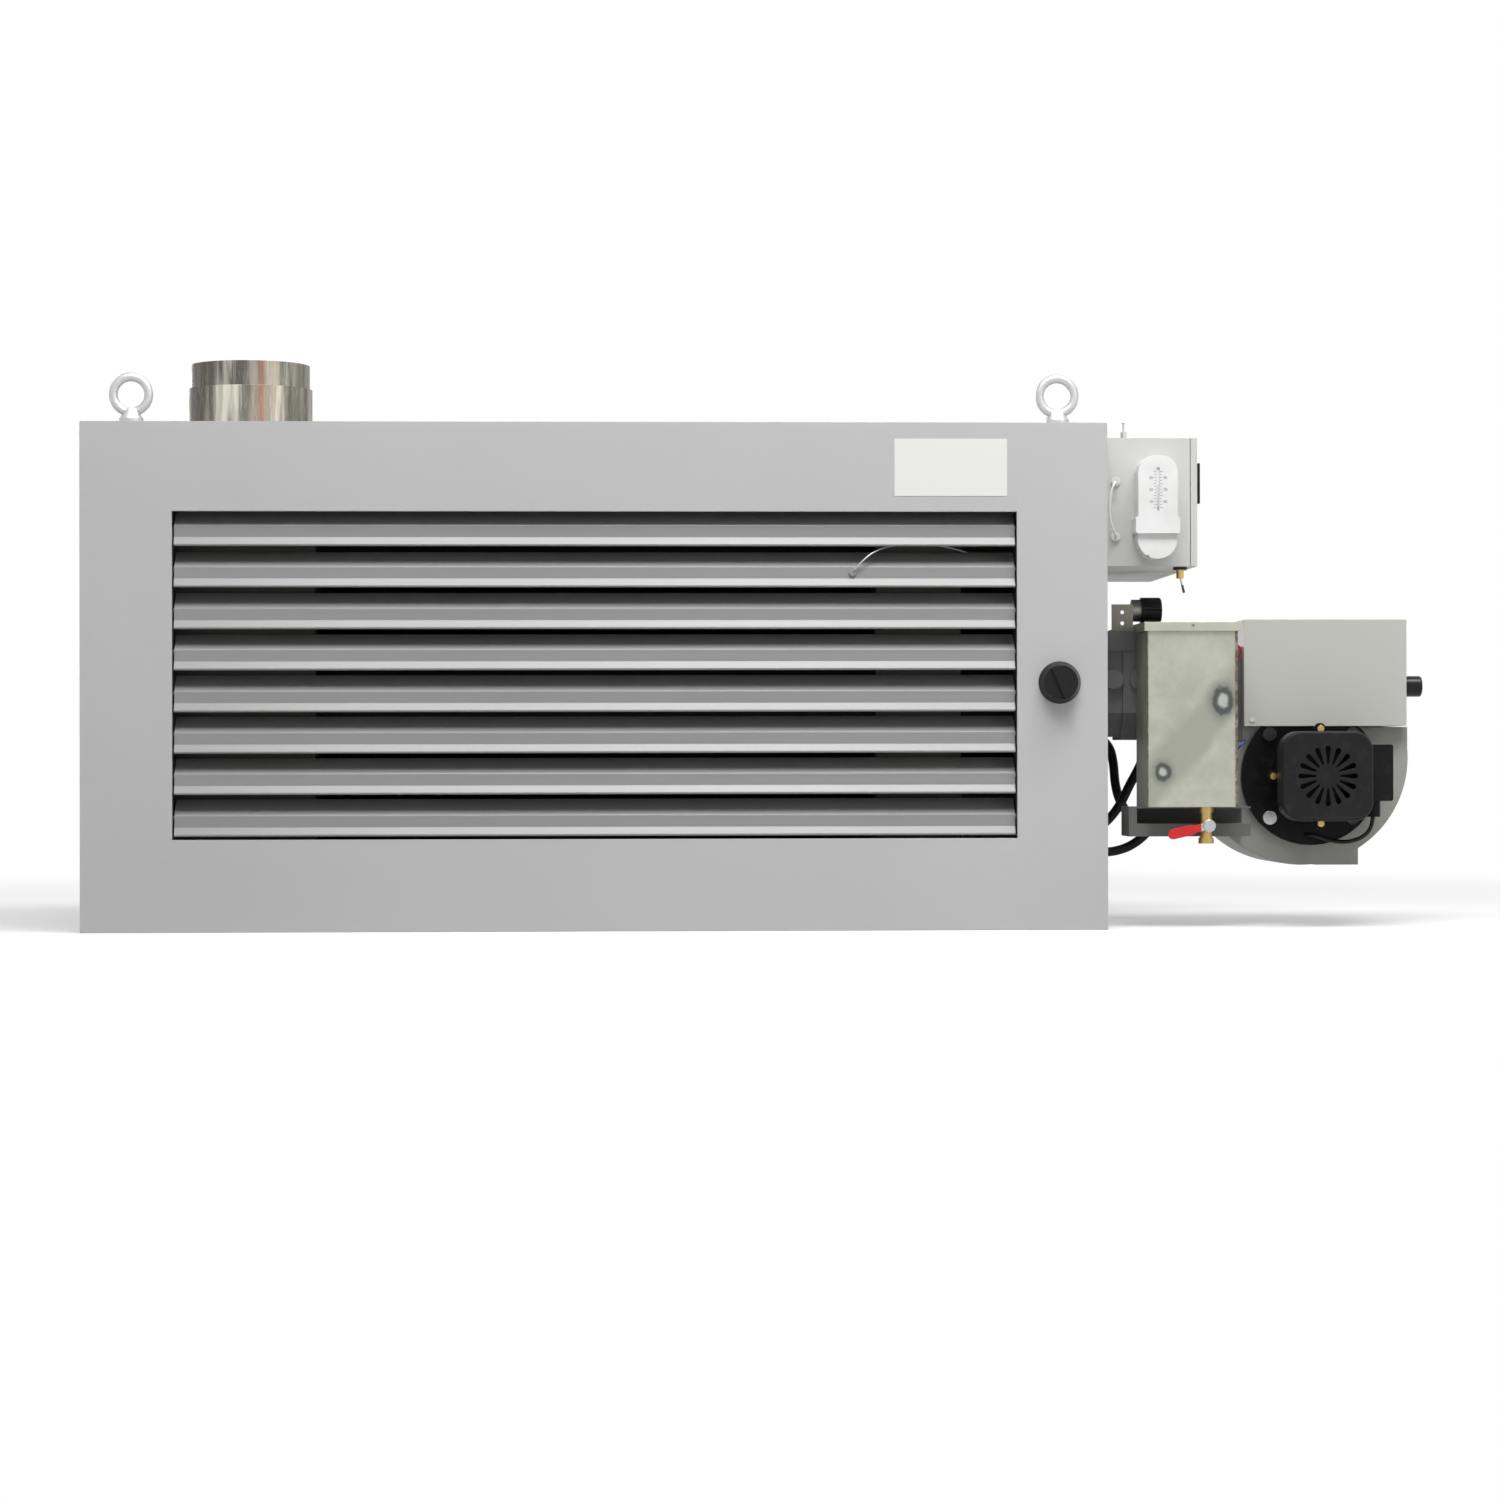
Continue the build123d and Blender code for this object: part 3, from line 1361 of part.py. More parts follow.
def burner_impeller():
    """Back plate, boss, ring of blades and front ring on the motor shaft."""
    centre = (motor_x, motor_z)
    start = volute_front + volute_wall + wheel_setback
    end = start + wheel_width
    inner = wheel_radius - wheel_ring_width
    wheel = rod("y", centre, wheel_radius, start, start + wheel_sheet)
    wheel += rod("y", centre, wheel_hub_radius, start, start + wheel_width / 2)
    wheel += pipe("y", centre, wheel_radius, inner, end - wheel_sheet, end)
    blade = block(motor_x + inner + wheel_sheet, motor_x + wheel_radius - wheel_sheet,
                  start, end - wheel_sheet / 2, motor_z - wheel_sheet / 2, motor_z + wheel_sheet / 2)
    for turn in range(wheel_blade_count):
        wheel += around((motor_x, 0, motor_z), (0, 1, 0), blade, 360 * turn / wheel_blade_count)
    return wheel - rod("y", centre, motor_shaft_radius + running_gap, start - overrun, end + overrun)


def motor_plate():
    """Round mounting plate between the motor and the fan housing."""
    plate = rod("y", (motor_x, motor_z), plate_radius, plate_front, volute_front)
    plate -= rod("y", (motor_x, motor_z), motor_spigot_radius + seat_gap, plate_front - overrun,
                 volute_front + overrun)
    return plate - rod("y", cable_entry, cable_radius + running_gap, plate_front - overrun,
                       volute_front - overrun)


def turned_places(radius, first_angle, count):
    """Points around the motor axis in X and Z."""
    angles = [math.radians(first_angle + 360 * turn / count) for turn in range(count)]
    return [(motor_x + radius * math.cos(angle), motor_z + radius * math.sin(angle)) for angle in angles]


def motor_body():
    """Motor can with four bolt lugs, a rear spigot and the shaft into the fan housing."""
    centre = (motor_x, motor_z)
    body = rod("y", centre, motor_radius, motor_front, plate_front)
    body += rod("y", centre, motor_spigot_radius, plate_front, volute_front + volute_wall)
    body += rod("y", centre, motor_shaft_radius, volute_front, volute_front + motor_shaft_reach)
    lug_start = plate_front - lug_setback - lug_sheet
    lug_end = plate_front - lug_setback
    for place in turned_places(lug_circle, 0, 4)[1:]:
        body += rod("y", place, lug_radius, lug_start, lug_end)
        web = block(min(place[0], motor_x) - lug_radius / 2, max(place[0], motor_x) + lug_radius / 2,
                    lug_start, lug_end, min(place[1], motor_z) - lug_radius / 2,
                    max(place[1], motor_z) + lug_radius / 2)
        body += web
    return body


def motor_cowl():
    """Square fan cowl with cut corners and a ring of slots."""
    front = motor_front - cowl_depth + cowl_edge
    outline = Pos(motor_x, motor_z) * RectangleRounded(cowl_width, cowl_height, cowl_corner)
    cowl = push_y(outline, front, motor_front + cowl_edge)
    front_face = cowl.faces().sort_by(Axis.Y)[0]
    cowl = chamfer(front_face.edges(), cowl_edge)
    inner = Pos(motor_x, motor_z) * RectangleRounded(cowl_width - 2 * cowl_wall, cowl_height - 2 * cowl_wall,
                                                    cowl_corner - cowl_wall)
    cowl -= push_y(inner, front + cowl_edge + cowl_wall, motor_front + cowl_edge + overrun)
    cowl += pipe("y", (motor_x, motor_z), cowl_height / 2, motor_radius + free_gap, motor_front,
                 motor_front + cowl_edge)
    slot = block(motor_x + cowl_slot_inner, motor_x + cowl_slot_outer, front - overrun,
                 front + cowl_edge + cowl_wall + overrun, motor_z - cowl_slot_width / 2,
                 motor_z + cowl_slot_width / 2)
    for turn in range(cowl_slot_count):
        cowl -= around((motor_x, 0, motor_z), (0, 1, 0), slot, 360 * turn / cowl_slot_count)
    return cowl


def motor_screws():
    """Plate screws and the brass bolt ends on the motor lugs."""
    screws = []
    for place in turned_places(plate_screw_circle, 45, 4):
        screws.append(rod("y", place, plate_screw_radius, plate_front - plate_screw_height, plate_front))
    lug_front = plate_front - lug_setback - lug_sheet
    for place in turned_places(lug_circle, 0, 4)[1:]:
        screws.append(rod("y", place, lug_bolt_radius, lug_front - lug_bolt_height, lug_front))
    screws.append(rod("y", (cover_left + cover_screw_inset, cover_low + cover_screw_rise), cover_screw_radius,
                      cover_front - cover_sheet, cover_front))
    return screws


def capacitor_box():
    """Terminal box at the motor's right side, with the cable gland below it."""
    left = motor_x + motor_radius + free_gap
    right = left + capacitor_width
    low = capacitor_top - capacitor_height
    rear = capacitor_front + capacitor_depth
    box = block(left, right, capacitor_front, rear, low, capacitor_top)
    box = fillet(box.edges().filter_by(Axis.Y), capacitor_edge)
    place = gland_place
    box += rod("z", place, gland_radius, low - gland_length, low)
    return box - rod("z", place, cable_radius + running_gap, low - gland_length - overrun,
                     low - gland_length / 2)


def burner_cover():
    """Folded sheet cover, open below and where the duct enters, with a hole for the button."""
    cover = block(cover_left, cover_right, cover_front, cover_rear, cover_low, cover_high)
    cover = fillet(cover.edges().filter_by(Axis.Y), cover_corner)
    cover -= block(cover_left + cover_sheet, cover_inner_right, cover_front + cover_sheet,
                   cover_rear - cover_sheet, cover_low - overrun, cover_high - cover_sheet)
    cover -= block(cover_left - overrun, cover_left + cover_sheet + overrun, volute_front - free_gap,
                   volute_rear + free_gap, cover_low - overrun, duct_high + free_gap)
    return cover - rod("x", (reset_y, reset_z), reset_radius + free_gap, cover_inner_right - overrun,
                       cover_right + overrun)


def burner_relay():
    """Control relay standing beside the duct, bored for the reset stem."""
    left = duct_right + free_gap
    relay = block(left, left + control_width, reset_y - control_depth / 4, reset_y + control_depth * 3 / 4,
                  burner_z - control_height / 2, burner_z + control_height / 2)
    right = left + control_width
    return relay - rod("x", (reset_y, reset_z), reset_stem_radius + running_gap, left + volute_wall,
                       right + overrun)


def reset_button():
    """Round button with a rounded face and a stem that slides in the relay."""
    relay_right = duct_right + free_gap + control_width
    start = relay_right + reset_travel + free_gap
    end = cover_right + reset_reach
    button = rod("x", (reset_y, reset_z), reset_radius, start, end)
    face_edge = button.edges().sort_by(Axis.X)[-1]
    button = fillet(face_edge, reset_round)
    return button + rod("x", (reset_y, reset_z), reset_stem_radius, relay_right - reset_stem_length, start)


def oil_tank():
    """Open sheet tank with a drain hole in its floor."""
    tank = block(tank_left, tank_right, tank_front, tank_rear, tank_low, tank_high)
    tank -= block(tank_left + tank_sheet, tank_right - tank_sheet, tank_front + tank_sheet,
                  tank_rear - tank_sheet, tank_low + tank_sheet, tank_high + overrun)
    return tank - rod("z", (valve_x, valve_y), valve_bore, tank_low - overrun, tank_low + overrun)


def tank_lid():
    """Lid pan whose skirt hangs round the tank's rim."""
    left = tank_left - lid_reach - lid_sheet
    right = tank_right + lid_reach
    front = tank_front - lid_reach
    low = tank_high - lid_skirt
    high = tank_high + lid_sheet
    lid = block(left, right, front, tank_rear + lid_sheet, low, high)
    lid -= block(left + lid_sheet, right - lid_sheet, front + lid_sheet, tank_rear + overrun,
                 low - overrun, tank_high)
    hole = ((tank_left + tank_right) / 2, tank_high - lid_skirt / 3)
    return lid - rod("y", hole, lid_hole_radius, front - overrun, front + lid_sheet + overrun)


def shelf():
    """Channel below the tank: top flange, web on the fan housing, bottom with a raised front lip."""
    web_rear = volute_front - seat_gap
    web_front = web_rear - shelf_sheet
    top_high = tank_low
    channel = block(shelf_left, shelf_right, web_front, web_rear, shelf_low, top_high)
    channel += block(shelf_left, shelf_right, shelf_front, web_rear, shelf_low, shelf_low + shelf_sheet)
    channel += block(shelf_left, shelf_right, shelf_front, web_rear, top_high - shelf_sheet, top_high)
    channel += block(shelf_left, shelf_right, shelf_front, shelf_front + shelf_sheet, shelf_low,
                     shelf_low + shelf_lip)
    channel += block(shelf_left, shelf_left + shelf_sheet, shelf_front, web_rear, shelf_low, top_high)
    channel += block(shelf_left, shelf_left + shelf_end_strip, shelf_front, shelf_front + shelf_sheet,
                     shelf_low, top_high)
    return channel


def drain_valve():
    """Brass ball valve: threaded body below the tank, collar, ball housing and bonnet to the front."""
    place = (valve_x, valve_y)
    valve = rod("z", place, valve_radius, valve_low, tank_low)
    valve += rod("z", place, valve_collar_radius, tank_low - valve_collar_height, tank_low)
    valve += Pos(valve_x, valve_y, valve_z) * Sphere(valve_ball_radius)
    valve += rod("z", place, valve_collar_radius, valve_low, valve_low + valve_collar_height)
    valve += rod("y", (valve_x, valve_z), valve_bonnet_radius, valve_bonnet_front, valve_y)
    valve -= rod("z", place, valve_bore, valve_low - overrun, valve_z - valve_bonnet_radius)
    valve -= rod("z", place, valve_bore, valve_z + valve_bonnet_radius, tank_low + overrun)
    return valve - rod("y", (valve_x, valve_z), valve_stem_radius + running_gap, valve_bonnet_front - overrun,
                       valve_y - valve_stem_radius)


def drain_lever():
    """Flat lever with a sleeved grip, on the valve stem under its nut."""
    centre = (valve_x, valve_z)
    rear = valve_bonnet_front - free_gap
    front = rear - lever_sheet
    lever = rod("y", centre, valve_nut_radius, front, rear)
    lever += block(valve_x - lever_length + lever_grip / 2, valve_x, front, rear,
                   valve_z - lever_neck_width / 2, valve_z + lever_neck_width / 2)
    grip_middle = valve_x - lever_length + lever_grip / 2
    grip_face = Pos(grip_middle, valve_z) * SlotOverall(lever_grip, lever_grip_width)
    grip_spare = (lever_grip_sheet - lever_sheet) / 2
    lever += push_y(grip_face, front - grip_spare, rear + grip_spare)
    lever += push_y(Pos(valve_x, valve_z) * RegularPolygon(valve_nut_radius, 6),
                    front - valve_nut_height, front)
    lever += rod("y", centre, valve_stem_radius, rear, valve_y - valve_stem_radius - free_gap)
    return around((valve_x, 0, valve_z), (0, 1, 0), lever, -lever_rest)


def regulator():
    """Angle bracket on the neck's lid with two holes, and the regulator body."""
    front = regulator_y - regulator_radius
    bracket = block(bracket_left, bracket_right, front, front + bracket_sheet, neck_high, bracket_high)
    bracket += block(bracket_left, bracket_right, front, front + bracket_foot, neck_high,
                     neck_high + bracket_sheet)
    bracket += block(bracket_right - bracket_sheet, bracket_right, front, front + bracket_foot,
                     neck_high, bracket_high)
    middle = (bracket_left + bracket_right) / 2
    for place in ((middle, neck_high + bracket_foot / 3), (middle, bracket_high - bracket_foot / 3)):
        bracket -= rod("y", place, bracket_hole_radius, front - overrun, front + bracket_sheet + overrun)
    centre = (regulator_y, regulator_z)
    body = rod("x", centre, regulator_radius, bracket_right, bracket_right + regulator_length)
    bore = rod("x", centre, regulator_shaft_radius + running_gap, bracket_right + bracket_sheet,
               bracket_right + regulator_length + overrun)
    return bracket + body - bore


def regulator_knob():
    """Fluted knob with a rounded end, on its shaft."""
    centre = (regulator_y, regulator_z)
    start = bracket_right + regulator_length + free_gap
    end = start + regulator_knob_length
    knob = rod("x", centre, regulator_knob_radius, start, end)
    knob = fillet(knob.edges().sort_by(Axis.X)[-1], regulator_knob_round)
    for turn in range(regulator_flutes):
        angle = 2 * math.pi * turn / regulator_flutes
        flute = (regulator_y + regulator_knob_radius * math.cos(angle),
                 regulator_z + regulator_knob_radius * math.sin(angle))
        knob -= rod("x", flute, regulator_flute_radius, start + regulator_knob_round, end + overrun)
    return knob + rod("x", centre, regulator_shaft_radius, bracket_right + bracket_sheet + free_gap, start)


def hoses():
    return [cord("hose " + name, route, hose_radius) for name, route in hose_routes.items()]


def wires():
    """Motor cable and the thin leads."""
    cords = [cord("motor cable", motor_cable_route, cable_radius)]
    return cords + [cord("wire " + name, route, wire_radius) for name, route in wire_routes.items()]


def write(name, shape):
    """One STEP file for a sub-part, from one solid or a list of them."""
    solids = shape if isinstance(shape, list) else [shape]
    bodies = [solid for item in solids for solid in item.solids()]
    out = bodies[0] if len(bodies) == 1 else Compound(children=bodies)
    export_step(out, os.path.join("parts", name + ".step"))


os.makedirs("parts", exist_ok=True)
sub_parts = {
    "front_panel": front_panel,
    "top_panel": top_panel,
    "bottom_panel": bottom_panel,
    "side_panels": side_panels,
    "rear_panel": rear_panel,
    "fan_rings": fan_rings,
    "cleanout_cover": cleanout_cover,
    "eye_bolts": eye_bolts,
    "flue_spigot": flue_spigot,
    "flue_sleeve": flue_sleeve,
    "combustion_chamber": combustion_chamber,
    "exchanger_headers": exchanger_headers,
    "exchanger_tubes": exchanger_tubes,
    "chamber_supports": chamber_supports,
    "fan_motors": fan_motors,
    "fan_thermostat": fan_thermostat,
    "thermostat_knob": thermostat_knob,
    "capillary": capillary,
    "label_plate": label_plate,
    "control_box": control_box,
    "control_door": control_door,
    "door_latch": door_latch,
    "contactor": contactor,
    "panel_fittings": panel_fittings,
    "upper_toggle": upper_toggle,
    "lower_toggle": lower_toggle,
    "room_thermostat": room_thermostat,
    "room_dial": room_dial,
    "wires": wires,
    "hoses": hoses,
    "neck_casting": neck_casting,
    "burner_head": burner_head,
    "volute": volute,
    "air_damper": air_damper,
    "burner_impeller": burner_impeller,
    "motor_plate": motor_plate,
    "motor_body": motor_body,
    "motor_cowl": motor_cowl,
    "motor_screws": motor_screws,
    "capacitor_box": capacitor_box,
    "burner_cover": burner_cover,
    "burner_relay": burner_relay,
    "reset_button": reset_button,
    "oil_tank": oil_tank,
    "tank_lid": tank_lid,
    "shelf": shelf,
    "drain_valve": drain_valve,
    "drain_lever": drain_lever,
    "regulator": regulator,
    "regulator_knob": regulator_knob,
}
for name, make in sub_parts.items():
    write(name, make())
write("fan_left", fan_impeller(-fan_x))
write("fan_right", fan_impeller(fan_x))
for number in range(1, blade_count + 1):
    write("louvre_" + str(number), louvre(number))
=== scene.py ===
"""The waste oil heater's finishes and small fittings, as a panel of operators for one part."""

import math

import bmesh
import bpy
from bpy.props import FloatProperty, FloatVectorProperty, IntProperty, PointerProperty
from mathutils import Matrix, Vector
from mathutils.geometry import delaunay_2d_cdt


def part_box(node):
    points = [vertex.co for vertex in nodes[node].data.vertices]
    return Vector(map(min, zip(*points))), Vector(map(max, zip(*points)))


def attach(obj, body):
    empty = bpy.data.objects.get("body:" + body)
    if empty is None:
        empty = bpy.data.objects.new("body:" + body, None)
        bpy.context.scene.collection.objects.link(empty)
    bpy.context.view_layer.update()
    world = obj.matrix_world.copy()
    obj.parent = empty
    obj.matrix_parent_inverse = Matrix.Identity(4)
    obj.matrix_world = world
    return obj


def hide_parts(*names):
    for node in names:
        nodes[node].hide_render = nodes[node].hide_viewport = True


bl_info = {
    "name": "Waste oil heater",
    "version": (1, 0, 0),
    "blender": (4, 5, 0),
    "location": "3D View > Sidebar > Heater",
    "description": "Finishes, markings and fittings of a louvred waste oil heater",
    "category": "Object",
}

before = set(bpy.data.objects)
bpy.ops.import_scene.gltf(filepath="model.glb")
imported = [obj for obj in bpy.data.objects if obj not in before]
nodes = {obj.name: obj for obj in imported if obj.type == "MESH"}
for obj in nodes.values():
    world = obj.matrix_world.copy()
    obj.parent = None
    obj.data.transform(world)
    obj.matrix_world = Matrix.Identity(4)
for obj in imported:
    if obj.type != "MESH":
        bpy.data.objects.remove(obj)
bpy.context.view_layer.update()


# Settings


def size(name, description, default, largest=2.0):
    """A length that a user may change, in metres."""
    return FloatProperty(name=name, description=description, default=default, min=0.0, max=largest,
                         unit="LENGTH")


def tone(name, description, default):
    """A colour that a user may change."""
    return FloatVectorProperty(name=name, description=description, default=default, size=3, min=0.0,
                               max=1.0, subtype="COLOR")


def lamp_power(name, description, default):
    """The power of a lamp, which a user may change."""
    return FloatProperty(name=name, description=description, default=default, min=0.0, unit="POWER")


class StageSettings(bpy.types.PropertyGroup):
    """The floor, the lamps and the camera."""

    floor_tone: tone("Floor", "Colour of the studio floor", (0.48, 0.48, 0.48))
    world_light: FloatProperty(name="Room light", description="Strength of the even light from all round",
                               default=0.20, min=0.0)
    key_power: lamp_power("Key lamp", "Power of the large lamp above the front", 186.0)
    glint_power: lamp_power("Glint lamp", "Power of the small lamp that lights the blades' lips", 7.0)
    side_power: lamp_power("Side lamp", "Power of the lamp at the burner side", 12.0)
    rear_power: lamp_power("Rear lamp", "Power of the soft lamp behind the object", 60.0)
    lens: FloatProperty(name="Lens", description="Focal length on a 36 mm sensor", default=89.07, min=10.0,
                        subtype="DISTANCE_CAMERA")


class PaintSettings(bpy.types.PropertyGroup):
    """The painted sheet and castings."""

    casing_tone: tone("Casing", "Powder coat of the cabinet", (0.500, 0.500, 0.500))
    louvre_tone: tone("Louvres", "Smooth paint of the blades", (0.280, 0.281, 0.280))
    box_tone: tone("Control box", "Powder coat of the control box", (0.590, 0.590, 0.578))
    cover_tone: tone("Burner cover", "Paint of the cover over the duct", (0.510, 0.514, 0.480))
    housing_tone: tone("Fan housing", "Paint of the cast fan housing", (0.330, 0.330, 0.300))
    casting_tone: tone("Neck casting", "Dark paint of the casting at the cabinet", (0.195, 0.200, 0.200))
    peel_size: size("Peel", "Size of one bump in the powder coat", 0.0012, 0.02)


class MetalSettings(bpy.types.PropertyGroup):
    """The bare and plated metal."""

    sheet_tone: tone("Tank sheet", "Bare sheet of the oil tank", (0.465, 0.475, 0.395))
    flue_tone: tone("Flue sheet", "Bare stainless sheet of the flue", (0.600, 0.580, 0.500))
    zinc_tone: tone("Zinc", "Bright zinc plate", (0.620, 0.620, 0.615))
    brass_tone: tone("Brass", "Machined brass", (0.600, 0.420, 0.150))
    drum_tone: tone("Drum", "Heat-blackened steel inside the cabinet", (0.020, 0.019, 0.018))


class MouldingSettings(bpy.types.PropertyGroup):
    """The plastic and rubber pieces."""

    black_tone: tone("Black", "Black mouldings", (0.0085, 0.0085, 0.009))
    cowl_tone: tone("Cowl", "Charcoal moulding of the motor's cowl", (0.013, 0.013, 0.013))
    white_tone: tone("White", "White moulding of the room thermostat", (0.780, 0.780, 0.775))
    red_tone: tone("Red", "Vinyl sleeve of the drain lever", (0.640, 0.010, 0.012))
    petals: IntProperty(name="Cowl slots", description="Petal-shaped slots in the motor's cowl", default=16,
                        min=3)
    blue_tone: tone("Blue", "Sheath of the lead from the neck casting", (0.010, 0.050, 0.450))


class MarkSettings(bpy.types.PropertyGroup):
    """The thermometer's scale and the dial's figures."""

    ticks: IntProperty(name="Marks", description="Marks along each side of the thermometer", default=13,
                       min=3)
    figure_height: size("Figure height", "Height of the scale's figures", 0.0036, 0.02)
    mark_width: size("Mark width", "Width of one mark of the scale", 0.0005, 0.005)
    film: size("Ink film", "How far the printed marks stand off the moulding", 0.00012, 0.002)


# Measured values: metres on the object at rest, angles in radians, the sensor in millimetres

SENSOR_WIDTH = 36.0
VIEW_DEPTH = 60.0
CAMERA_PLACE = (0.0182, -4.76936, 0.20494)
CAMERA_YAW, CAMERA_PITCH, CAMERA_ROLL = 0.037338, 0.00337, -0.00167
FLOOR_REACH, FLOOR_DROP = 14.0, 0.0005
FLOOR_NEAR, FLOOR_FAR = 1.3, 2.6
FRONT_AIM = (0.2, -0.2, 0.3)

# Each lamp's name, the setting that holds its power, its place, its aim, its width and its height
LAMPS = (
    ("key lamp", "key_power", (0.70, -1.75, 3.6), FRONT_AIM, 3.2, 1.5),
    ("glint lamp", "glint_power", (0.35, -2.05, 3.5), FRONT_AIM, 0.5, 0.5),
    ("side lamp", "side_power", (3.2, -2.6, 1.4), (0.6, 0.0, 0.3), 1.6, 1.6),
    ("rear lamp", "rear_power", (-1.4, 3.8, 1.2), (0.0, 0.2, 0.3), 2.4, 1.6),
)

CABLE_RADIUS, LEAD_RADIUS, HOSE_RADIUS = 0.0026, 0.0013, 0.0060

# Each cord's name, sheath, node, slot, radius, length, stiffness and route
CORDS = (
    ("motor_cable", "black", "wires", "hose_black", CABLE_RADIUS, 0.1257, "medium",
     ((0.968, -0.1707, 0.1455), (0.968, -0.1707, 0.127), (0.959, -0.167, 0.112), (0.941, -0.159, 0.104),
      (0.920, -0.150, 0.105), (0.902, -0.142, 0.112), (0.893, -0.133, 0.113), (0.893, -0.1193, 0.113))),
    ("red_wire", "red", "wires", "lever_red", LEAD_RADIUS, 0.0649, "medium",
     ((0.7913, -0.160, 0.352), (0.799, -0.160, 0.352), (0.806, -0.155, 0.346), (0.806, -0.146, 0.338),
      (0.801, -0.135, 0.331), (0.797, -0.125, 0.325), (0.797, -0.1153, 0.325))),
    ("blue_wire", "blue", "wires", "wire_white", LEAD_RADIUS, 0.0405, "medium",
     ((0.816, -0.1153, 0.232), (0.816, -0.123, 0.232), (0.811, -0.128, 0.227), (0.805, -0.128, 0.220),
      (0.801, -0.123, 0.214), (0.801, -0.1153, 0.214))),
    ("white_lead", "white", "wires", "wire_white", LEAD_RADIUS, 0.0891, "limp",
     ((0.643, -0.189, 0.5524), (0.643, -0.197, 0.5524), (0.638, -0.202, 0.545), (0.6345, -0.203, 0.532),
      (0.634, -0.203, 0.517), (0.635, -0.203, 0.503), (0.639, -0.202, 0.491), (0.643, -0.197, 0.484),
      (0.643, -0.189, 0.484))),
    ("upper_hose", "rubber", "hoses", "hose_black", HOSE_RADIUS, 0.2234, "stiff",
     ((0.6252, 0.025, 0.240), (0.646, 0.025, 0.240), (0.664, 0.024, 0.226), (0.669, 0.022, 0.203),
      (0.670, 0.019, 0.178), (0.675, 0.013, 0.154), (0.688, 0.004, 0.134), (0.704, -0.009, 0.121),
      (0.720, -0.021, 0.117), (0.738, -0.030, 0.122), (0.7558, -0.030, 0.122))),
    ("middle_hose", "rubber", "hoses", "hose_black", HOSE_RADIUS, 0.1550, "stiff",
     ((0.700, -0.040, 0.2327), (0.700, -0.040, 0.213), (0.692, -0.037, 0.194), (0.682, -0.031, 0.175),
      (0.674, -0.023, 0.155), (0.663, -0.012, 0.136), (0.645, -0.005, 0.118), (0.6252, -0.005, 0.118))),
    ("lower_hose", "rubber", "hoses", "hose_black", HOSE_RADIUS, 0.1579, "stiff",
     ((0.6252, 0.010, 0.088), (0.646, 0.010, 0.088), (0.669, 0.009, 0.089), (0.691, 0.008, 0.097),
      (0.709, 0.004, 0.112), (0.722, -0.003, 0.132), (0.737, -0.014, 0.150), (0.7558, -0.014, 0.150))),
)

BLADES = range(1, 9)
# The cabinet's inside, where the casing's paint carries painted shade
CABINET_INSIDE = ((-0.617, -0.244, 0.004), (0.617, 0.2445, 0.614))

# Each stain of the flue's sheet: its noise scale, where it starts and is full, its share and its colour
FLUE_STAINS = (
    (17.0, 0.46, 0.60, 0.75, (0.10, 0.09, 0.075)),
    (26.0, 0.50, 0.62, 0.55, (0.50, 0.41, 0.34)),
    (41.0, 0.55, 0.66, 0.50, (0.26, 0.28, 0.20)),
)
FLUE_SEAMS = (
    ((-0.523, -0.08, 0.60), (-0.497, 0.0, 0.72), (0.075, 0.068, 0.058)),
    ((-0.424, -0.09, 0.60), (-0.418, -0.05, 0.72), (0.40, 0.20, 0.13)),
)

# Boxes round the parts of a piece that have a finish of their own, and round the fan housing's duct, which
# carries painted shade
GROMMETS = ((0.6330, -0.200, 0.4740), (0.6530, -0.150, 0.5624))
UPPER_BUSHING = ((0.640, -0.190, 0.6060), (0.672, -0.150, 0.6300))
LOWER_BUSHING = ((0.715, -0.190, 0.4300), (0.740, -0.150, 0.4440))
UPPER_TIP = ((0.60, -0.24, 0.6260), (0.70, -0.12, 0.66))
LOWER_TIP = ((0.69, -0.24, 0.40), (0.76, -0.12, 0.4255))
# Painted shade: the fan housing's duct, darkened where it lies in the gap behind the tank
DUCT_SHADE_BOX = ((0.740, -0.130, 0.230), (0.8140, 0.030, 0.365))
LEVER_SHANK = ((0.7440, -0.240, 0.100), (0.790, -0.180, 0.160))
REGULATOR_BRACKET = ((0.640, -0.140, 0.360), (0.6775, -0.060, 0.420))

# The motor's screws, in x and z, and the boxes round their heads
BLACK_SCREWS = ((0.9513, 0.2396), (0.8461, 0.2396), (0.9513, 0.1344))
BRASS_BOLTS = ((0.8987, 0.2460), (0.8397, 0.1870), (0.8987, 0.1280))
BLACK_SCREW_REACH, BRASS_BOLT_REACH = 0.012, 0.011
SCREWS_FRONT, SCREWS_BACK = -0.26, -0.10

COWL_EDGE, COWL_WALL, COWL_CORNER = 0.004, 0.0025, 0.024
PETAL_INNER, PETAL_OUTER, PETAL_NARROW, PETAL_WIDE = 0.0148, 0.0372, 0.0011, 0.0033
COLLAR_INSET, COLLAR_STEPS = 0.0052, 48

# The thermometer: its spirit column and its scale
SPIRIT_X, SPIRIT_Y, SPIRIT_RADIUS = 0.691, -0.2252, 0.0004
SPIRIT_ROUTE = ((0.5148, 0.5), (0.5155, 1.6), (0.5180, 1.6), (0.5190, 0.8), (0.5460, 0.8))
SCALE_FACE, SCALE_LOW, SCALE_HIGH = -0.226, 0.5180, 0.5620
LEFT_MARKS_END, RIGHT_MARKS_START = 0.6884, 0.6936
LONG_MARK, SHORT_MARK, MARKS_PER_LONG = 0.0032, 0.0020, 4
SCALE_FIGURES = ((0.6822, ("10", "20", "30")), (0.6998, ("50", "70", "90")))
FIGURE_SIZE_SHARE = 1.35

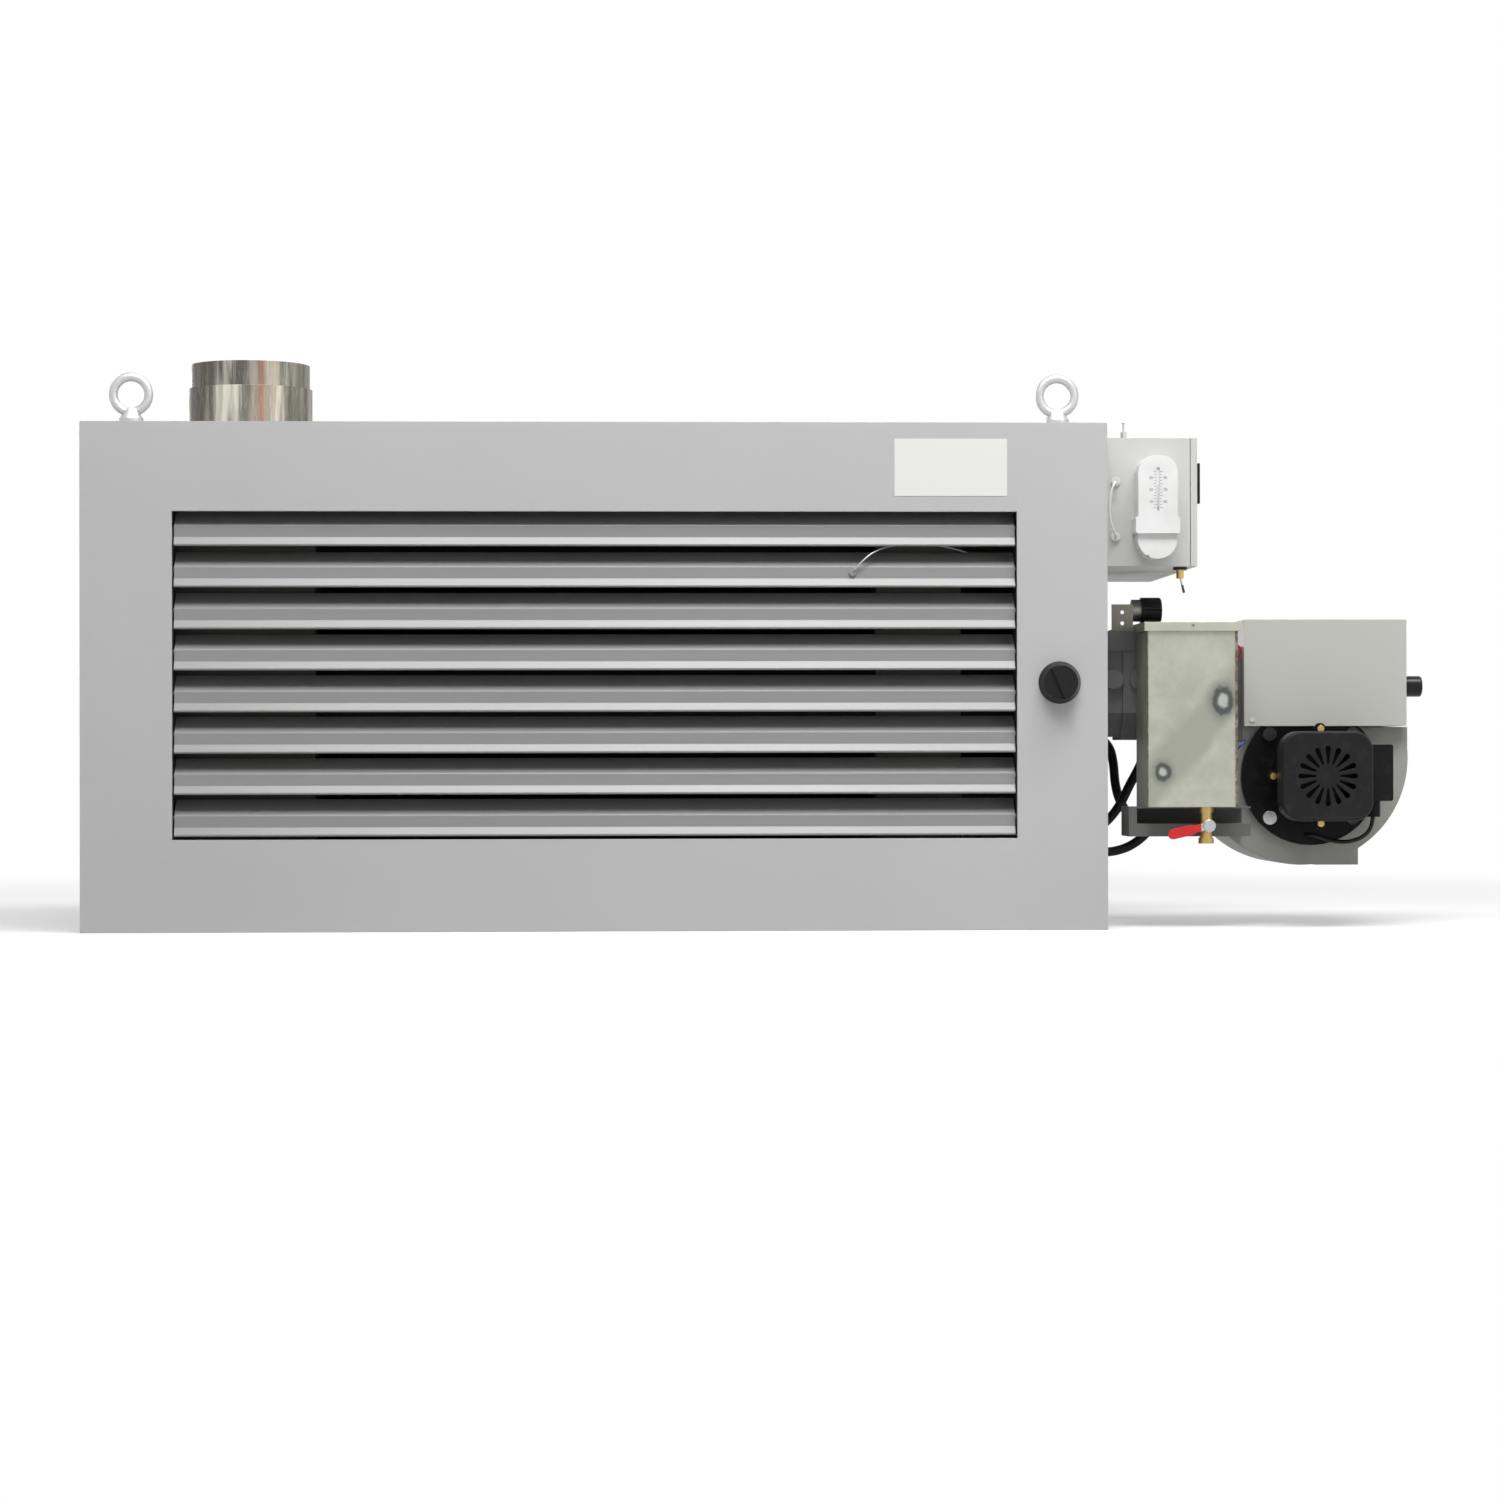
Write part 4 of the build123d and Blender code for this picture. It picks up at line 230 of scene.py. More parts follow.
# The tank's two welds: centre, flattening and radius of the heat ring round each
TANK_WELDS = (
    ((0.7725, -0.215, 0.2803), (1.0, 1.0, 0.72), 0.0098),
    ((0.6980, -0.215, 0.1925), (1.0, 1.0, 0.88), 0.0074),
)
WELD_TINTS = (
    ("Halo", 0.72, (0.16, 0.175, 0.16)),
    ("Ring", 0.90, (0.070, 0.078, 0.076)),
    ("Heart", 0.85, (0.50, 0.52, 0.48)),
)
# The rust along the tank's front edges: low corner, high corner, softness and colour
TANK_EDGES = (
    ((0.7875, -0.225, 0.140), (0.800, -0.2125, 0.380), 0.0012, (0.105, 0.070, 0.048)),
    ((0.670, -0.225, 0.140), (0.6802, -0.2125, 0.380), 0.0006, (0.110, 0.085, 0.060)),
)
BAND_LINE, BAND_PLACE = (0.761, 0.0, -0.649), 0.4215

NO_STRETCH = (1.0, 1.0, 1.0)
UPRIGHT_STRETCH = (1.0, 1.0, 0.06)
WHITE = (1.0, 1.0, 1.0, 1.0)

# The colour mixing node's sockets
MIX_AMOUNT, MIX_UNDER, MIX_OVER, MIX_RESULT = 0, 6, 7, 2


# Shader building


def wire(tree, kind, feeds=None, **settings):
    """Adds one shader node, sets it up, and feeds its sockets with values or with other nodes' sockets."""
    node = tree.nodes.new("ShaderNode" + kind)
    for key, value in settings.items():
        setattr(node, key, value)
    for key, value in (feeds or {}).items():
        if isinstance(value, bpy.types.NodeSocket):
            tree.links.new(value, node.inputs[key])
        else:
            node.inputs[key].default_value = value
    return node


def sum_of(tree, kind, first, second=0.5, third=0.5):
    """One step of arithmetic on numbers."""
    return wire(tree, "Math", {0: first, 1: second, 2: third}, operation=kind).outputs[0]


def scaled(tree, value, factor):
    """A number times a factor."""
    return sum_of(tree, "MULTIPLY", value, factor)


def scale_for(tree, width):
    """The noise scale that gives bumps of a width in metres."""
    return sum_of(tree, "DIVIDE", 1.0, width)


def place_step(tree, kind, *places, output="Vector"):
    """One step of arithmetic on places, such as a product or a length."""
    return wire(tree, "VectorMath", dict(enumerate(places)), operation=kind).outputs[output]


def spread(tree, value, low, high, start=0.0, end=1.0):
    """Carries a number from one span to another, eased and held at the ends."""
    feeds = {"Value": value, "From Min": low, "From Max": high, "To Min": start, "To Max": end}
    return wire(tree, "MapRange", feeds, interpolation_type="SMOOTHSTEP").outputs["Result"]


def noise(tree, place, scale, detail=2.0, rough=0.5):
    """Even cloud noise on a place in metres."""
    feeds = {"Vector": place, "Scale": scale, "Detail": detail, "Roughness": rough}
    return wire(tree, "TexNoise", feeds).outputs["Fac"]


def tint(tree, amount, under, over):
    """Lays one colour over another by an amount that changes over the surface."""
    node = wire(tree, "Mix", {MIX_AMOUNT: amount}, data_type="RGBA")
    for key, value in ((MIX_UNDER, under), (MIX_OVER, over)):
        if isinstance(value, bpy.types.NodeSocket):
            tree.links.new(value, node.inputs[key])
        else:
            node.inputs[key].default_value = (*value[:3], 1.0)
    return node.outputs[MIX_RESULT]


def lay(tree, body, mask, share, over):
    """Lays a colour over a finish, by at most a share of a mask."""
    return tint(tree, scaled(tree, mask, share), body, over)


def effect(name, inputs, outputs):
    """An empty shader group with named sockets, and its first and last node."""
    tree = bpy.data.node_groups.new(name, "ShaderNodeTree")
    for label, default in inputs.items():
        kind = "NodeSocketVector" if isinstance(default, tuple) else "NodeSocketFloat"
        socket = tree.interface.new_socket(label, in_out="INPUT", socket_type=kind)
        socket.default_value = default
    for label, kind in outputs.items():
        tree.interface.new_socket(label, in_out="OUTPUT", socket_type="NodeSocket" + kind)
    return tree, tree.nodes.new("NodeGroupInput"), tree.nodes.new("NodeGroupOutput")


def use(tree, name, **feeds):
    """Places a shader group in a material, with its own values."""
    node = tree.nodes.new("ShaderNodeGroup")
    node.node_tree = bpy.data.node_groups[name]
    for key, value in feeds.items():
        socket = node.inputs[key.replace("_", " ")]
        if isinstance(value, bpy.types.NodeSocket):
            tree.links.new(value, socket)
        else:
            socket.default_value = value
    return node


def place_of(tree):
    """The place on the object, in metres of the row frame at rest."""
    return wire(tree, "TexCoord").outputs["Object"]


def build_edge_group():
    """Rounded edges, and a mask along them."""
    tree, start, end = effect("Rounded edge", {"Radius": 0.0006}, {"Normal": "Vector", "Edge": "Float"})
    level, turned = 0.995, 0.85
    soft = wire(tree, "Bevel", {"Radius": start.outputs["Radius"]}, samples=4).outputs["Normal"]
    flat = wire(tree, "NewGeometry").outputs["True Normal"]
    along = place_step(tree, "DOT_PRODUCT", soft, flat, output="Value")
    tree.links.new(soft, end.inputs["Normal"])
    tree.links.new(spread(tree, along, level, turned), end.inputs["Edge"])


def build_peel_group():
    """Powder coat: fine orange peel, a slow change of shade, and flecks."""
    tree, start, end = effect("Powder coat", {"Peel": 0.0012, "Cloud": 0.35},
                              {"Height": "Float", "Shade": "Float", "Fleck": "Float"})
    fleck_scale, fleck_start, fleck_full = 0.35, 0.60, 0.74
    place = place_of(tree)
    fine = scale_for(tree, start.outputs["Peel"])
    slow = scale_for(tree, start.outputs["Cloud"])
    tree.links.new(noise(tree, place, fine, detail=1.0, rough=0.4), end.inputs["Height"])
    tree.links.new(noise(tree, place, slow), end.inputs["Shade"])
    fleck = noise(tree, place, scaled(tree, fine, fleck_scale), detail=3.0, rough=0.6)
    tree.links.new(spread(tree, fleck, fleck_start, fleck_full), end.inputs["Fleck"])


def build_grain_group():
    """Rolled sheet: streaks along one direction, blotches and fine scratches."""
    tree, start, end = effect("Rolled grain", {"Stretch": UPRIGHT_STRETCH, "Grain": 0.004},
                              {"Streak": "Float", "Blotch": "Float", "Scratch": "Float"})
    streak_scale, blotch_scale, scratch_scale = 0.35, 0.12, 6.0
    scratch_start, scratch_full = 0.50, 0.72
    place = place_of(tree)
    drawn = place_step(tree, "MULTIPLY", place, start.outputs["Stretch"])
    scale = scale_for(tree, start.outputs["Grain"])
    streak = noise(tree, drawn, scaled(tree, scale, streak_scale), detail=4.0, rough=0.65)
    blotch = noise(tree, place, scaled(tree, scale, blotch_scale), detail=4.0, rough=0.6)
    fine = noise(tree, drawn, scaled(tree, scale, scratch_scale), detail=2.0, rough=0.7)
    tree.links.new(streak, end.inputs["Streak"])
    tree.links.new(blotch, end.inputs["Blotch"])
    tree.links.new(spread(tree, fine, scratch_start, scratch_full), end.inputs["Scratch"])


def build_ring_group():
    """A heat tint round a weld: a pale heart, a blue-grey ring and a faint outer halo."""
    tree, start, end = effect("Heat ring",
                              {"Centre": (0.0, 0.0, 0.0), "Flatten": NO_STRETCH, "Radius": 0.006},
                              {"Heart": "Float", "Ring": "Float", "Halo": "Float"})
    wobble_scale, wobble_share = 160.0, 0.6
    place = place_of(tree)
    away = place_step(tree, "SUBTRACT", place, start.outputs["Centre"])
    away = place_step(tree, "MULTIPLY", away, start.outputs["Flatten"])
    far = place_step(tree, "LENGTH", away, output="Value")
    uneven = sum_of(tree, "SUBTRACT", noise(tree, place, wobble_scale, detail=3.0), 0.5)
    radii = sum_of(tree, "DIVIDE", far, start.outputs["Radius"])
    near = sum_of(tree, "ADD", radii, scaled(tree, uneven, wobble_share))
    from_ring = sum_of(tree, "ABSOLUTE", sum_of(tree, "SUBTRACT", near, 1.0))
    for label, value, none, full in (("Heart", near, 0.75, 0.35), ("Ring", from_ring, 0.55, 0.08),
                                     ("Halo", near, 2.6, 0.9)):
        tree.links.new(spread(tree, value, none, full), end.inputs[label])


def build_cast_group():
    """A sand casting's skin: pits, lumps and a slow change of shade."""
    tree, start, end = effect("Cast skin", {"Pit": 0.0016}, {"Height": "Float", "Shade": "Float"})
    lump_scale, shade_scale, pit_share = 0.5, 0.03, 0.5
    place = place_of(tree)
    scale = scale_for(tree, start.outputs["Pit"])
    cells = wire(tree, "TexVoronoi", {"Vector": place, "Scale": scale}, feature="SMOOTH_F1")
    lumps = noise(tree, place, scaled(tree, scale, lump_scale), detail=4.0, rough=0.7)
    shade = noise(tree, place, scaled(tree, scale, shade_scale), detail=3.0, rough=0.6)
    pits = scaled(tree, cells.outputs["Distance"], pit_share)
    tree.links.new(sum_of(tree, "ADD", pits, lumps), end.inputs["Height"])
    tree.links.new(shade, end.inputs["Shade"])


def build_dust_group():
    """Dust and finger marks: soft patches and fine specks."""
    tree, start, end = effect("Dust", {"Patch": 0.03}, {"Patches": "Float", "Specks": "Float"})
    patch_start, patch_full = 0.48, 0.70
    speck_scale, speck_start, speck_full = 40.0, 0.72, 0.78
    place = place_of(tree)
    scale = scale_for(tree, start.outputs["Patch"])
    patches = noise(tree, place, scale, detail=5.0, rough=0.62)
    specks = noise(tree, place, scaled(tree, scale, speck_scale), detail=1.0)
    tree.links.new(spread(tree, patches, patch_start, patch_full), end.inputs["Patches"])
    tree.links.new(spread(tree, specks, speck_start, speck_full), end.inputs["Specks"])


def build_box_group():
    """A mask that is 1 between two corners."""
    tree, start, end = effect("Box mask", {"Low": (0.0, 0.0, 0.0), "High": (0.0, 0.0, 0.0), "Soft": 0.0003},
                              {"Mask": "Float"})
    place = place_of(tree)
    nearest = None
    for first, second in ((place, start.outputs["Low"]), (start.outputs["High"], place)):
        depth = place_step(tree, "SUBTRACT", first, second)
        for side in wire(tree, "SeparateXYZ", {0: depth}).outputs:
            nearest = side if nearest is None else sum_of(tree, "MINIMUM", nearest, side)
    soft = start.outputs["Soft"]
    tree.links.new(spread(tree, nearest, scaled(tree, soft, -1.0), soft), end.inputs["Mask"])


# Materials


def new_finish(name):
    """A material with an empty tree, its shader and its output."""
    finish = bpy.data.materials.new(name)
    finish.use_nodes = True
    tree = finish.node_tree
    tree.nodes.clear()
    shader = wire(tree, "BsdfPrincipled")
    out = wire(tree, "OutputMaterial")
    tree.links.new(shader.outputs[0], out.inputs["Surface"])
    return finish, tree, shader


def join(tree, shader, **feeds):
    """Links values that change over the surface to the shader."""
    for key, value in feeds.items():
        tree.links.new(value, shader.inputs[key.replace("_", " ")])


def bump(tree, height, normal, strength, distance):
    """A bump on top of the rounded edges."""
    feeds = {"Height": height, "Normal": normal, "Strength": strength, "Distance": distance}
    return wire(tree, "Bump", feeds).outputs["Normal"]


def shaded(colour, factor):
    """A colour made lighter or darker by a factor."""
    return tuple(min(1.0, c * factor) for c in colour)


def zoned(tree, shader, body, zones, metallic=0.0):
    """Recolours a finish inside boxes, each with its own colour and share of metal."""
    shine = metallic
    for low, high, colour, share in zones:
        mask = use(tree, "Box mask", Low=low, High=high).outputs["Mask"]
        body = tint(tree, mask, body, colour)
        if share != metallic:
            feeds = {"Value": mask, "To Min": shine, "To Max": share}
            shine = wire(tree, "MapRange", feeds).outputs["Result"]
    if shine is metallic:
        shader.inputs["Metallic"].default_value = metallic
    else:
        join(tree, shader, Metallic=shine)
    return body


def painted(name, colour, peel, rough=0.42, radius=0.0007, peel_depth=0.00006, inside=None, gloss=0.45,
            dusty=0.08):
    """Powder coat or smooth paint on sheet, with painted shade where it lies inside the cabinet."""
    darkest, lightest, edge_wear_and_highlight = 0.93, 1.06, 1.25
    fleck_dark, dust_dark, inside_shade_dark = 0.80, 0.86, 0.10
    fleck_share, edge_wear_and_highlight_share, peel_strength = 0.10, 0.35, 0.35
    finish, tree, shader = new_finish(name)
    coat = use(tree, "Powder coat", Peel=peel).outputs
    edge = use(tree, "Rounded edge", Radius=radius).outputs
    dust = use(tree, "Dust", Patch=0.12).outputs
    body = tint(tree, coat["Shade"], shaded(colour, darkest), shaded(colour, lightest))
    body = lay(tree, body, coat["Fleck"], fleck_share, shaded(colour, fleck_dark))
    body = lay(tree, body, dust["Patches"], dusty, shaded(colour, dust_dark))
    # Edges lightened: partly wear, partly a painted highlight along the rounded edges
    body = lay(tree, body, edge["Edge"], edge_wear_and_highlight_share, shaded(colour, edge_wear_and_highlight))
    # Painted shade: the paint is darkened to a tenth inside the cabinet, where little light reaches
    if inside:
        low, high = inside
        inside_shade = use(tree, "Box mask", Low=low, High=high).outputs["Mask"]
        body = tint(tree, inside_shade, body, shaded(colour, inside_shade_dark))
    sheen = sum_of(tree, "MULTIPLY_ADD", dust["Patches"], dusty, rough)
    join(tree, shader, Base_Color=body, Roughness=sheen,
         Normal=bump(tree, coat["Height"], edge["Normal"], peel_strength, peel_depth))
    shader.inputs["Specular IOR Level"].default_value = gloss
    return finish


def bare_metal(name, colour, rough=0.32, grain=0.003, stretch=UPRIGHT_STRETCH, radius=0.0004, dull=0.75,
               zones=()):
    """Plated or machined metal with a fine drawn grain."""
    scratch_dark, edge_wear_and_highlight = 0.6, 1.25
    scratch_share, edge_wear_and_highlight_share = 0.18, 0.4
    rough_span, rough_drop, grain_strength, grain_depth = 0.22, 0.08, 0.10, 0.0002
    finish, tree, shader = new_finish(name)
    roll = use(tree, "Rolled grain", Stretch=stretch, Grain=grain).outputs
    edge = use(tree, "Rounded edge", Radius=radius).outputs
    body = tint(tree, roll["Blotch"], shaded(colour, dull), colour)
    body = lay(tree, body, roll["Scratch"], scratch_share, shaded(colour, scratch_dark))
    # Edges lightened: partly wear, partly a painted highlight along the rounded edges
    body = lay(tree, body, edge["Edge"], edge_wear_and_highlight_share, shaded(colour, edge_wear_and_highlight))
    body = zoned(tree, shader, body, zones, 1.0)
    sheen = sum_of(tree, "MULTIPLY_ADD", roll["Streak"], rough_span, rough - rough_drop)
    join(tree, shader, Base_Color=body, Roughness=sheen,
         Normal=bump(tree, roll["Streak"], edge["Normal"], grain_strength, grain_depth))
    return finish


def moulded(name, colour, rough=0.35, grain=0.0005, depth=0.00003, radius=0.0005, dusty=0.10, zones=(),
            gloss=0.5):
    """Plastic or rubber with a spark-eroded grain and a little dust."""
    darkest, lightest = 0.85, 1.15
    dust_tone, speck_tone, speck_factor = (0.35, 0.34, 0.32), (0.5, 0.49, 0.47), 2.0
    rough_span, grain_strength = 0.16, 0.3
    finish, tree, shader = new_finish(name)
    coat = use(tree, "Powder coat", Peel=grain, Cloud=0.04).outputs
    edge = use(tree, "Rounded edge", Radius=radius).outputs
    dust = use(tree, "Dust", Patch=0.015).outputs
    body = tint(tree, coat["Shade"], shaded(colour, darkest), shaded(colour, lightest))
    body = zoned(tree, shader, body, zones)
    body = lay(tree, body, dust["Patches"], dusty, dust_tone)
    body = lay(tree, body, dust["Specks"], dusty * speck_factor, speck_tone)
    sheen = sum_of(tree, "MULTIPLY_ADD", dust["Patches"], rough_span, rough)
    join(tree, shader, Base_Color=body, Roughness=sheen,
         Normal=bump(tree, coat["Height"], edge["Normal"], grain_strength, depth))
    shader.inputs["Specular IOR Level"].default_value = gloss
    return finish


def cast(name, colour, rough=0.5, pit=0.0016, depth=0.0004, radius=0.0012, zones=()):
    """A painted casting with a sandy skin."""
    darkest, lightest, edge_wear_and_highlight, dust_dark = 0.78, 1.2, 1.5, 0.62
    dust_share, edge_wear_and_highlight_share = 0.22, 0.3
    rough_span, rough_drop, pit_strength = 0.15, 0.07, 0.35
    finish, tree, shader = new_finish(name)
    skin = use(tree, "Cast skin", Pit=pit).outputs
    edge = use(tree, "Rounded edge", Radius=radius).outputs
    dust = use(tree, "Dust", Patch=0.04).outputs
    body = tint(tree, skin["Shade"], shaded(colour, darkest), shaded(colour, lightest))
    body = zoned(tree, shader, body, zones)
    body = lay(tree, body, dust["Patches"], dust_share, shaded(colour, dust_dark))
    # Edges lightened: partly wear, partly a painted highlight along the rounded edges
    body = lay(tree, body, edge["Edge"], edge_wear_and_highlight_share, shaded(colour, edge_wear_and_highlight))
    sheen = sum_of(tree, "MULTIPLY_ADD", skin["Shade"], rough_span, rough - rough_drop)
    join(tree, shader, Base_Color=body, Roughness=sheen,
         Normal=bump(tree, skin["Height"], edge["Normal"], pit_strength, depth))
    return finish


# Mesh building


def finish_node(name, finish):
    """Gives a carried-over piece its material."""
    mesh = nodes[name].data
    mesh.materials.clear()
    mesh.materials.append(finish)


def new_piece(name, shape, finish, body, smooth=False):
    """Turns a worked-out mesh into a piece of the object."""
    mesh = bpy.data.meshes.new(name)
    bmesh.ops.recalc_face_normals(shape, faces=shape.faces)
    shape.to_mesh(mesh)
    shape.free()
    mesh.materials.append(finish)
    for face in mesh.polygons:
        face.use_smooth = smooth
    piece = bpy.data.objects.new(name, mesh)
    bpy.context.scene.collection.objects.link(piece)
    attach(piece, body)
    return piece


def add_block(shape, low, high):
    """Adds a closed block between two corners."""
    xs, ys, zs = zip(low, high)
    corners = [shape.verts.new((x, y, z)) for x in xs for y in ys for z in zs]
    for face in ((0, 1, 3, 2), (4, 6, 7, 5), (0, 4, 5, 1), (2, 3, 7, 6), (0, 2, 6, 4), (1, 5, 7, 3)):
        shape.faces.new([corners[i] for i in face])


def add_loops(shape, loops):
    """Adds bands of faces between rings with as many corners each, and from the last ring to the first."""
    for below, above in zip(loops, [*loops[1:], loops[0]]):
        for k in range(len(below)):
            shape.faces.new((below[k - 1], below[k], above[k], above[k - 1]))


def add_plate(shape, outline, holes, front, back):
    """Adds a closed plate that faces the front, from a convex outline and convex holes in x and z."""
    points, edges, owner = [], [], []
    for number, loop in enumerate([outline, *holes]):
        first = len(points)
        points += loop
        owner += [number] * len(loop)
        edges += [(first + k, first + (k + 1) % len(loop)) for k in range(len(loop))]
    faces = delaunay_2d_cdt(points, edges, [], 0, 1e-9)[2]
    near = [shape.verts.new((p.x, front, p.y)) for p in points]
    far = [shape.verts.new((p.x, back, p.y)) for p in points]
    for face in faces:
        owners = {owner[k] for k in face}
        if len(owners) > 1 or owners == {0}:
            shape.faces.new([near[k] for k in face])
            shape.faces.new([far[k] for k in reversed(face)])
    for a, b in edges:
        shape.faces.new((near[a], near[b], far[b], far[a]))


def rounded_outline(centre, half, corner, steps=7):
    """Points of a rectangle with rounded corners, in x and z."""
    points = []
    for quarter, (across, up) in enumerate(((1, 1), (-1, 1), (-1, -1), (1, -1))):
        hub = centre + Vector((across * (half[0] - corner), up * (half[1] - corner)))
        for step in range(steps + 1):
            turn = (quarter + step / steps) * math.pi / 2.0
            points.append(hub + Vector((math.cos(turn), math.sin(turn))) * corner)
    return points


def petal_outline(centre, turn, inner, outer, narrow, wide, steps=6):
    """Points of a slot that widens away from the centre and has round ends."""
    out = Vector((math.cos(turn), math.sin(turn)))
    across = Vector((-out.y, out.x))
    points = []
    for hub, radius, start in ((outer - wide, wide, -0.5), (inner + narrow, narrow, 0.5)):
        for step in range(steps + 1):
            sweep = math.pi * (start + step / steps)
            along, aside = hub + radius * math.cos(sweep), radius * math.sin(sweep)
            points.append(centre + out * along + across * aside)
    return points


def add_tube(shape, route, radius, around=10):
    """Adds a closed round tube along a straight run of rings, each a place and a share of the radius."""
    rings = []
    for place, swell in route:
        turns = [2.0 * math.pi * k / around for k in range(around)]
        spokes = [Vector((math.cos(a), math.sin(a), 0.0)) for a in turns]
        rings.append([shape.verts.new(Vector(place) + spoke * radius * swell) for spoke in spokes])
    for below, above in zip(rings, rings[1:]):
        for k in range(around):
            shape.faces.new((below[k], below[k - 1], above[k - 1], above[k]))
    shape.faces.new(rings[0])
    shape.faces.new(rings[-1])


def add_cord(name, finish, node, slot, radius, length, stiffness, route):
    """A round cord along a smooth spline that goes into the object at both ends."""
    curve = bpy.data.curves.new(name, "CURVE")
    curve.dimensions = "3D"
    curve.bevel_depth = radius
    curve.bevel_resolution = 5
    curve.resolution_u = 16
    curve.materials.append(finish)
    line = curve.splines.new("NURBS")
    line.points.add(len(route) - 1)
    for point, place in zip(line.points, route):
        point.co = (*place, 1.0)
    line.order_u = 3
    line.use_endpoint_u = True
    piece = bpy.data.objects.new(name, curve)
    bpy.context.scene.collection.objects.link(piece)
    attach(piece, "cabinet")
    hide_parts(node)


def look_along(place, yaw, pitch, roll):
    """A camera's matrix, turned right, up and about its own line of sight, all in radians."""
    right = Vector((math.cos(yaw), -math.sin(yaw), 0.0))
    ahead = Vector((math.sin(yaw) * math.cos(pitch), math.cos(yaw) * math.cos(pitch), math.sin(pitch)))
    up = right.cross(ahead)
    level, side = math.cos(roll), math.sin(roll)
    across = right * level + up * side
    upward = up * level - right * side
    turn = Matrix((across, upward, -ahead)).transposed().to_4x4()
    turn.translation = place
    return turn


def add_lamp(name, place, aim, width, height, power):
    """A soft rectangular lamp that points at a place."""
    lamp = bpy.data.lights.new(name, "AREA")
    lamp.shape = "RECTANGLE"
    lamp.size = width
    lamp.size_y = height
    lamp.energy = power
    holder = bpy.data.objects.new(name, lamp)
    holder.location = place
    holder.rotation_euler = (Vector(aim) - Vector(place)).to_track_quat("-Z", "Y").to_euler()
    bpy.context.scene.collection.objects.link(holder)


class HEATER_OT_stage(bpy.types.Operator):
    """Sets up the floor, the lamps, the room light and the camera"""

    bl_idname = "heater.stage"
    bl_label = "Stage"

    def execute(self, context):
        scene = context.scene
        studio = scene.heater_stage
        scene.view_settings.view_transform = "Standard"
        camera = bpy.data.cameras.new("camera")
        camera.lens = studio.lens
        camera.sensor_width = SENSOR_WIDTH
        camera.clip_end = VIEW_DEPTH
        eye = bpy.data.objects.new("camera", camera)
        scene.collection.objects.link(eye)
        eye.matrix_world = look_along(Vector(CAMERA_PLACE), CAMERA_YAW, CAMERA_PITCH, CAMERA_ROLL)
        scene.camera = eye
        scene.world = self.room(studio)
        for name, power, place, aim, width, height in LAMPS:
            add_lamp(name, place, aim, width, height, getattr(studio, power))
        shape = bmesh.new()
        corners = ((-1, -1), (1, -1), (1, 1), (-1, 1))
        reach = FLOOR_REACH
        shape.faces.new([shape.verts.new((x * reach, y * reach, -FLOOR_DROP)) for x, y in corners])
        mesh = bpy.data.meshes.new("floor")
        shape.to_mesh(mesh)
        shape.free()
        floor = bpy.data.objects.new("floor", mesh)
        scene.collection.objects.link(floor)
        mesh.materials.append(self.floor_finish(studio))
        return {"FINISHED"}

    def room(self, studio):
        """Even light from all round, which the camera, glass and metal see as white."""
        glossy_share = 0.9
        world = bpy.data.worlds.new("studio")
        world.use_nodes = True
        tree = world.node_tree
        tree.nodes.clear()
        seen = wire(tree, "LightPath").outputs
        mirrored = scaled(tree, seen["Is Glossy Ray"], glossy_share)
        through = sum_of(tree, "MAXIMUM", seen["Is Transmission Ray"], mirrored)
        shown = sum_of(tree, "MAXIMUM", seen["Is Camera Ray"], through)
        feeds = {"Value": shown, "To Min": studio.world_light, "To Max": 1.0}
        strength = wire(tree, "MapRange", feeds).outputs["Result"]
        glow = wire(tree, "Background", {"Color": WHITE, "Strength": strength})
        tree.links.new(glow.outputs[0], wire(tree, "OutputWorld").inputs["Surface"])
        return world

    def floor_finish(self, studio):
        """A pale floor that shows as white, and keeps the object's shadow."""
        cloud_scale, cloud_light, glow_share = 1.5, 1.02, 0.42
        finish = bpy.data.materials.new("studio floor")
        finish.use_nodes = True
        tree = finish.node_tree
        tree.nodes.clear()
        place = place_of(tree)
        cloud = noise(tree, place, cloud_scale, detail=3.0)
        worn = tint(tree, cloud, studio.floor_tone, shaded(studio.floor_tone, cloud_light))
        matt = wire(tree, "BsdfDiffuse", {"Color": worn})
        seen = wire(tree, "LightPath").outputs
        mirrored = sum_of(tree, "MAXIMUM", seen["Is Glossy Ray"], seen["Is Transmission Ray"])
        shown = sum_of(tree, "MAXIMUM", seen["Is Camera Ray"], mirrored)
        glow = wire(tree, "Emission", {"Color": WHITE, "Strength": scaled(tree, shown, glow_share)})
        near = wire(tree, "AddShader", {0: matt.outputs[0], 1: glow.outputs[0]})
        away = place_step(tree, "LENGTH", place, output="Value")
        share = sum_of(tree, "MULTIPLY", shown, spread(tree, away, FLOOR_NEAR, FLOOR_FAR))
        white = wire(tree, "Emission", {"Color": WHITE, "Strength": 1.0})
        both = wire(tree, "MixShader", {0: share, 1: near.outputs[0], 2: white.outputs[0]})
        tree.links.new(both.outputs[0], wire(tree, "OutputMaterial").inputs["Surface"])
        return finish


class HEATER_OT_effects(bpy.types.Operator):
    """Builds the shader groups that the finishes share"""

    bl_idname = "heater.effects"
    bl_label = "Shared effects"

    def execute(self, context):
        build_edge_group()
        build_peel_group()
        build_grain_group()
        build_ring_group()
        build_cast_group()
        build_dust_group()
        build_box_group()
        return {"FINISHED"}


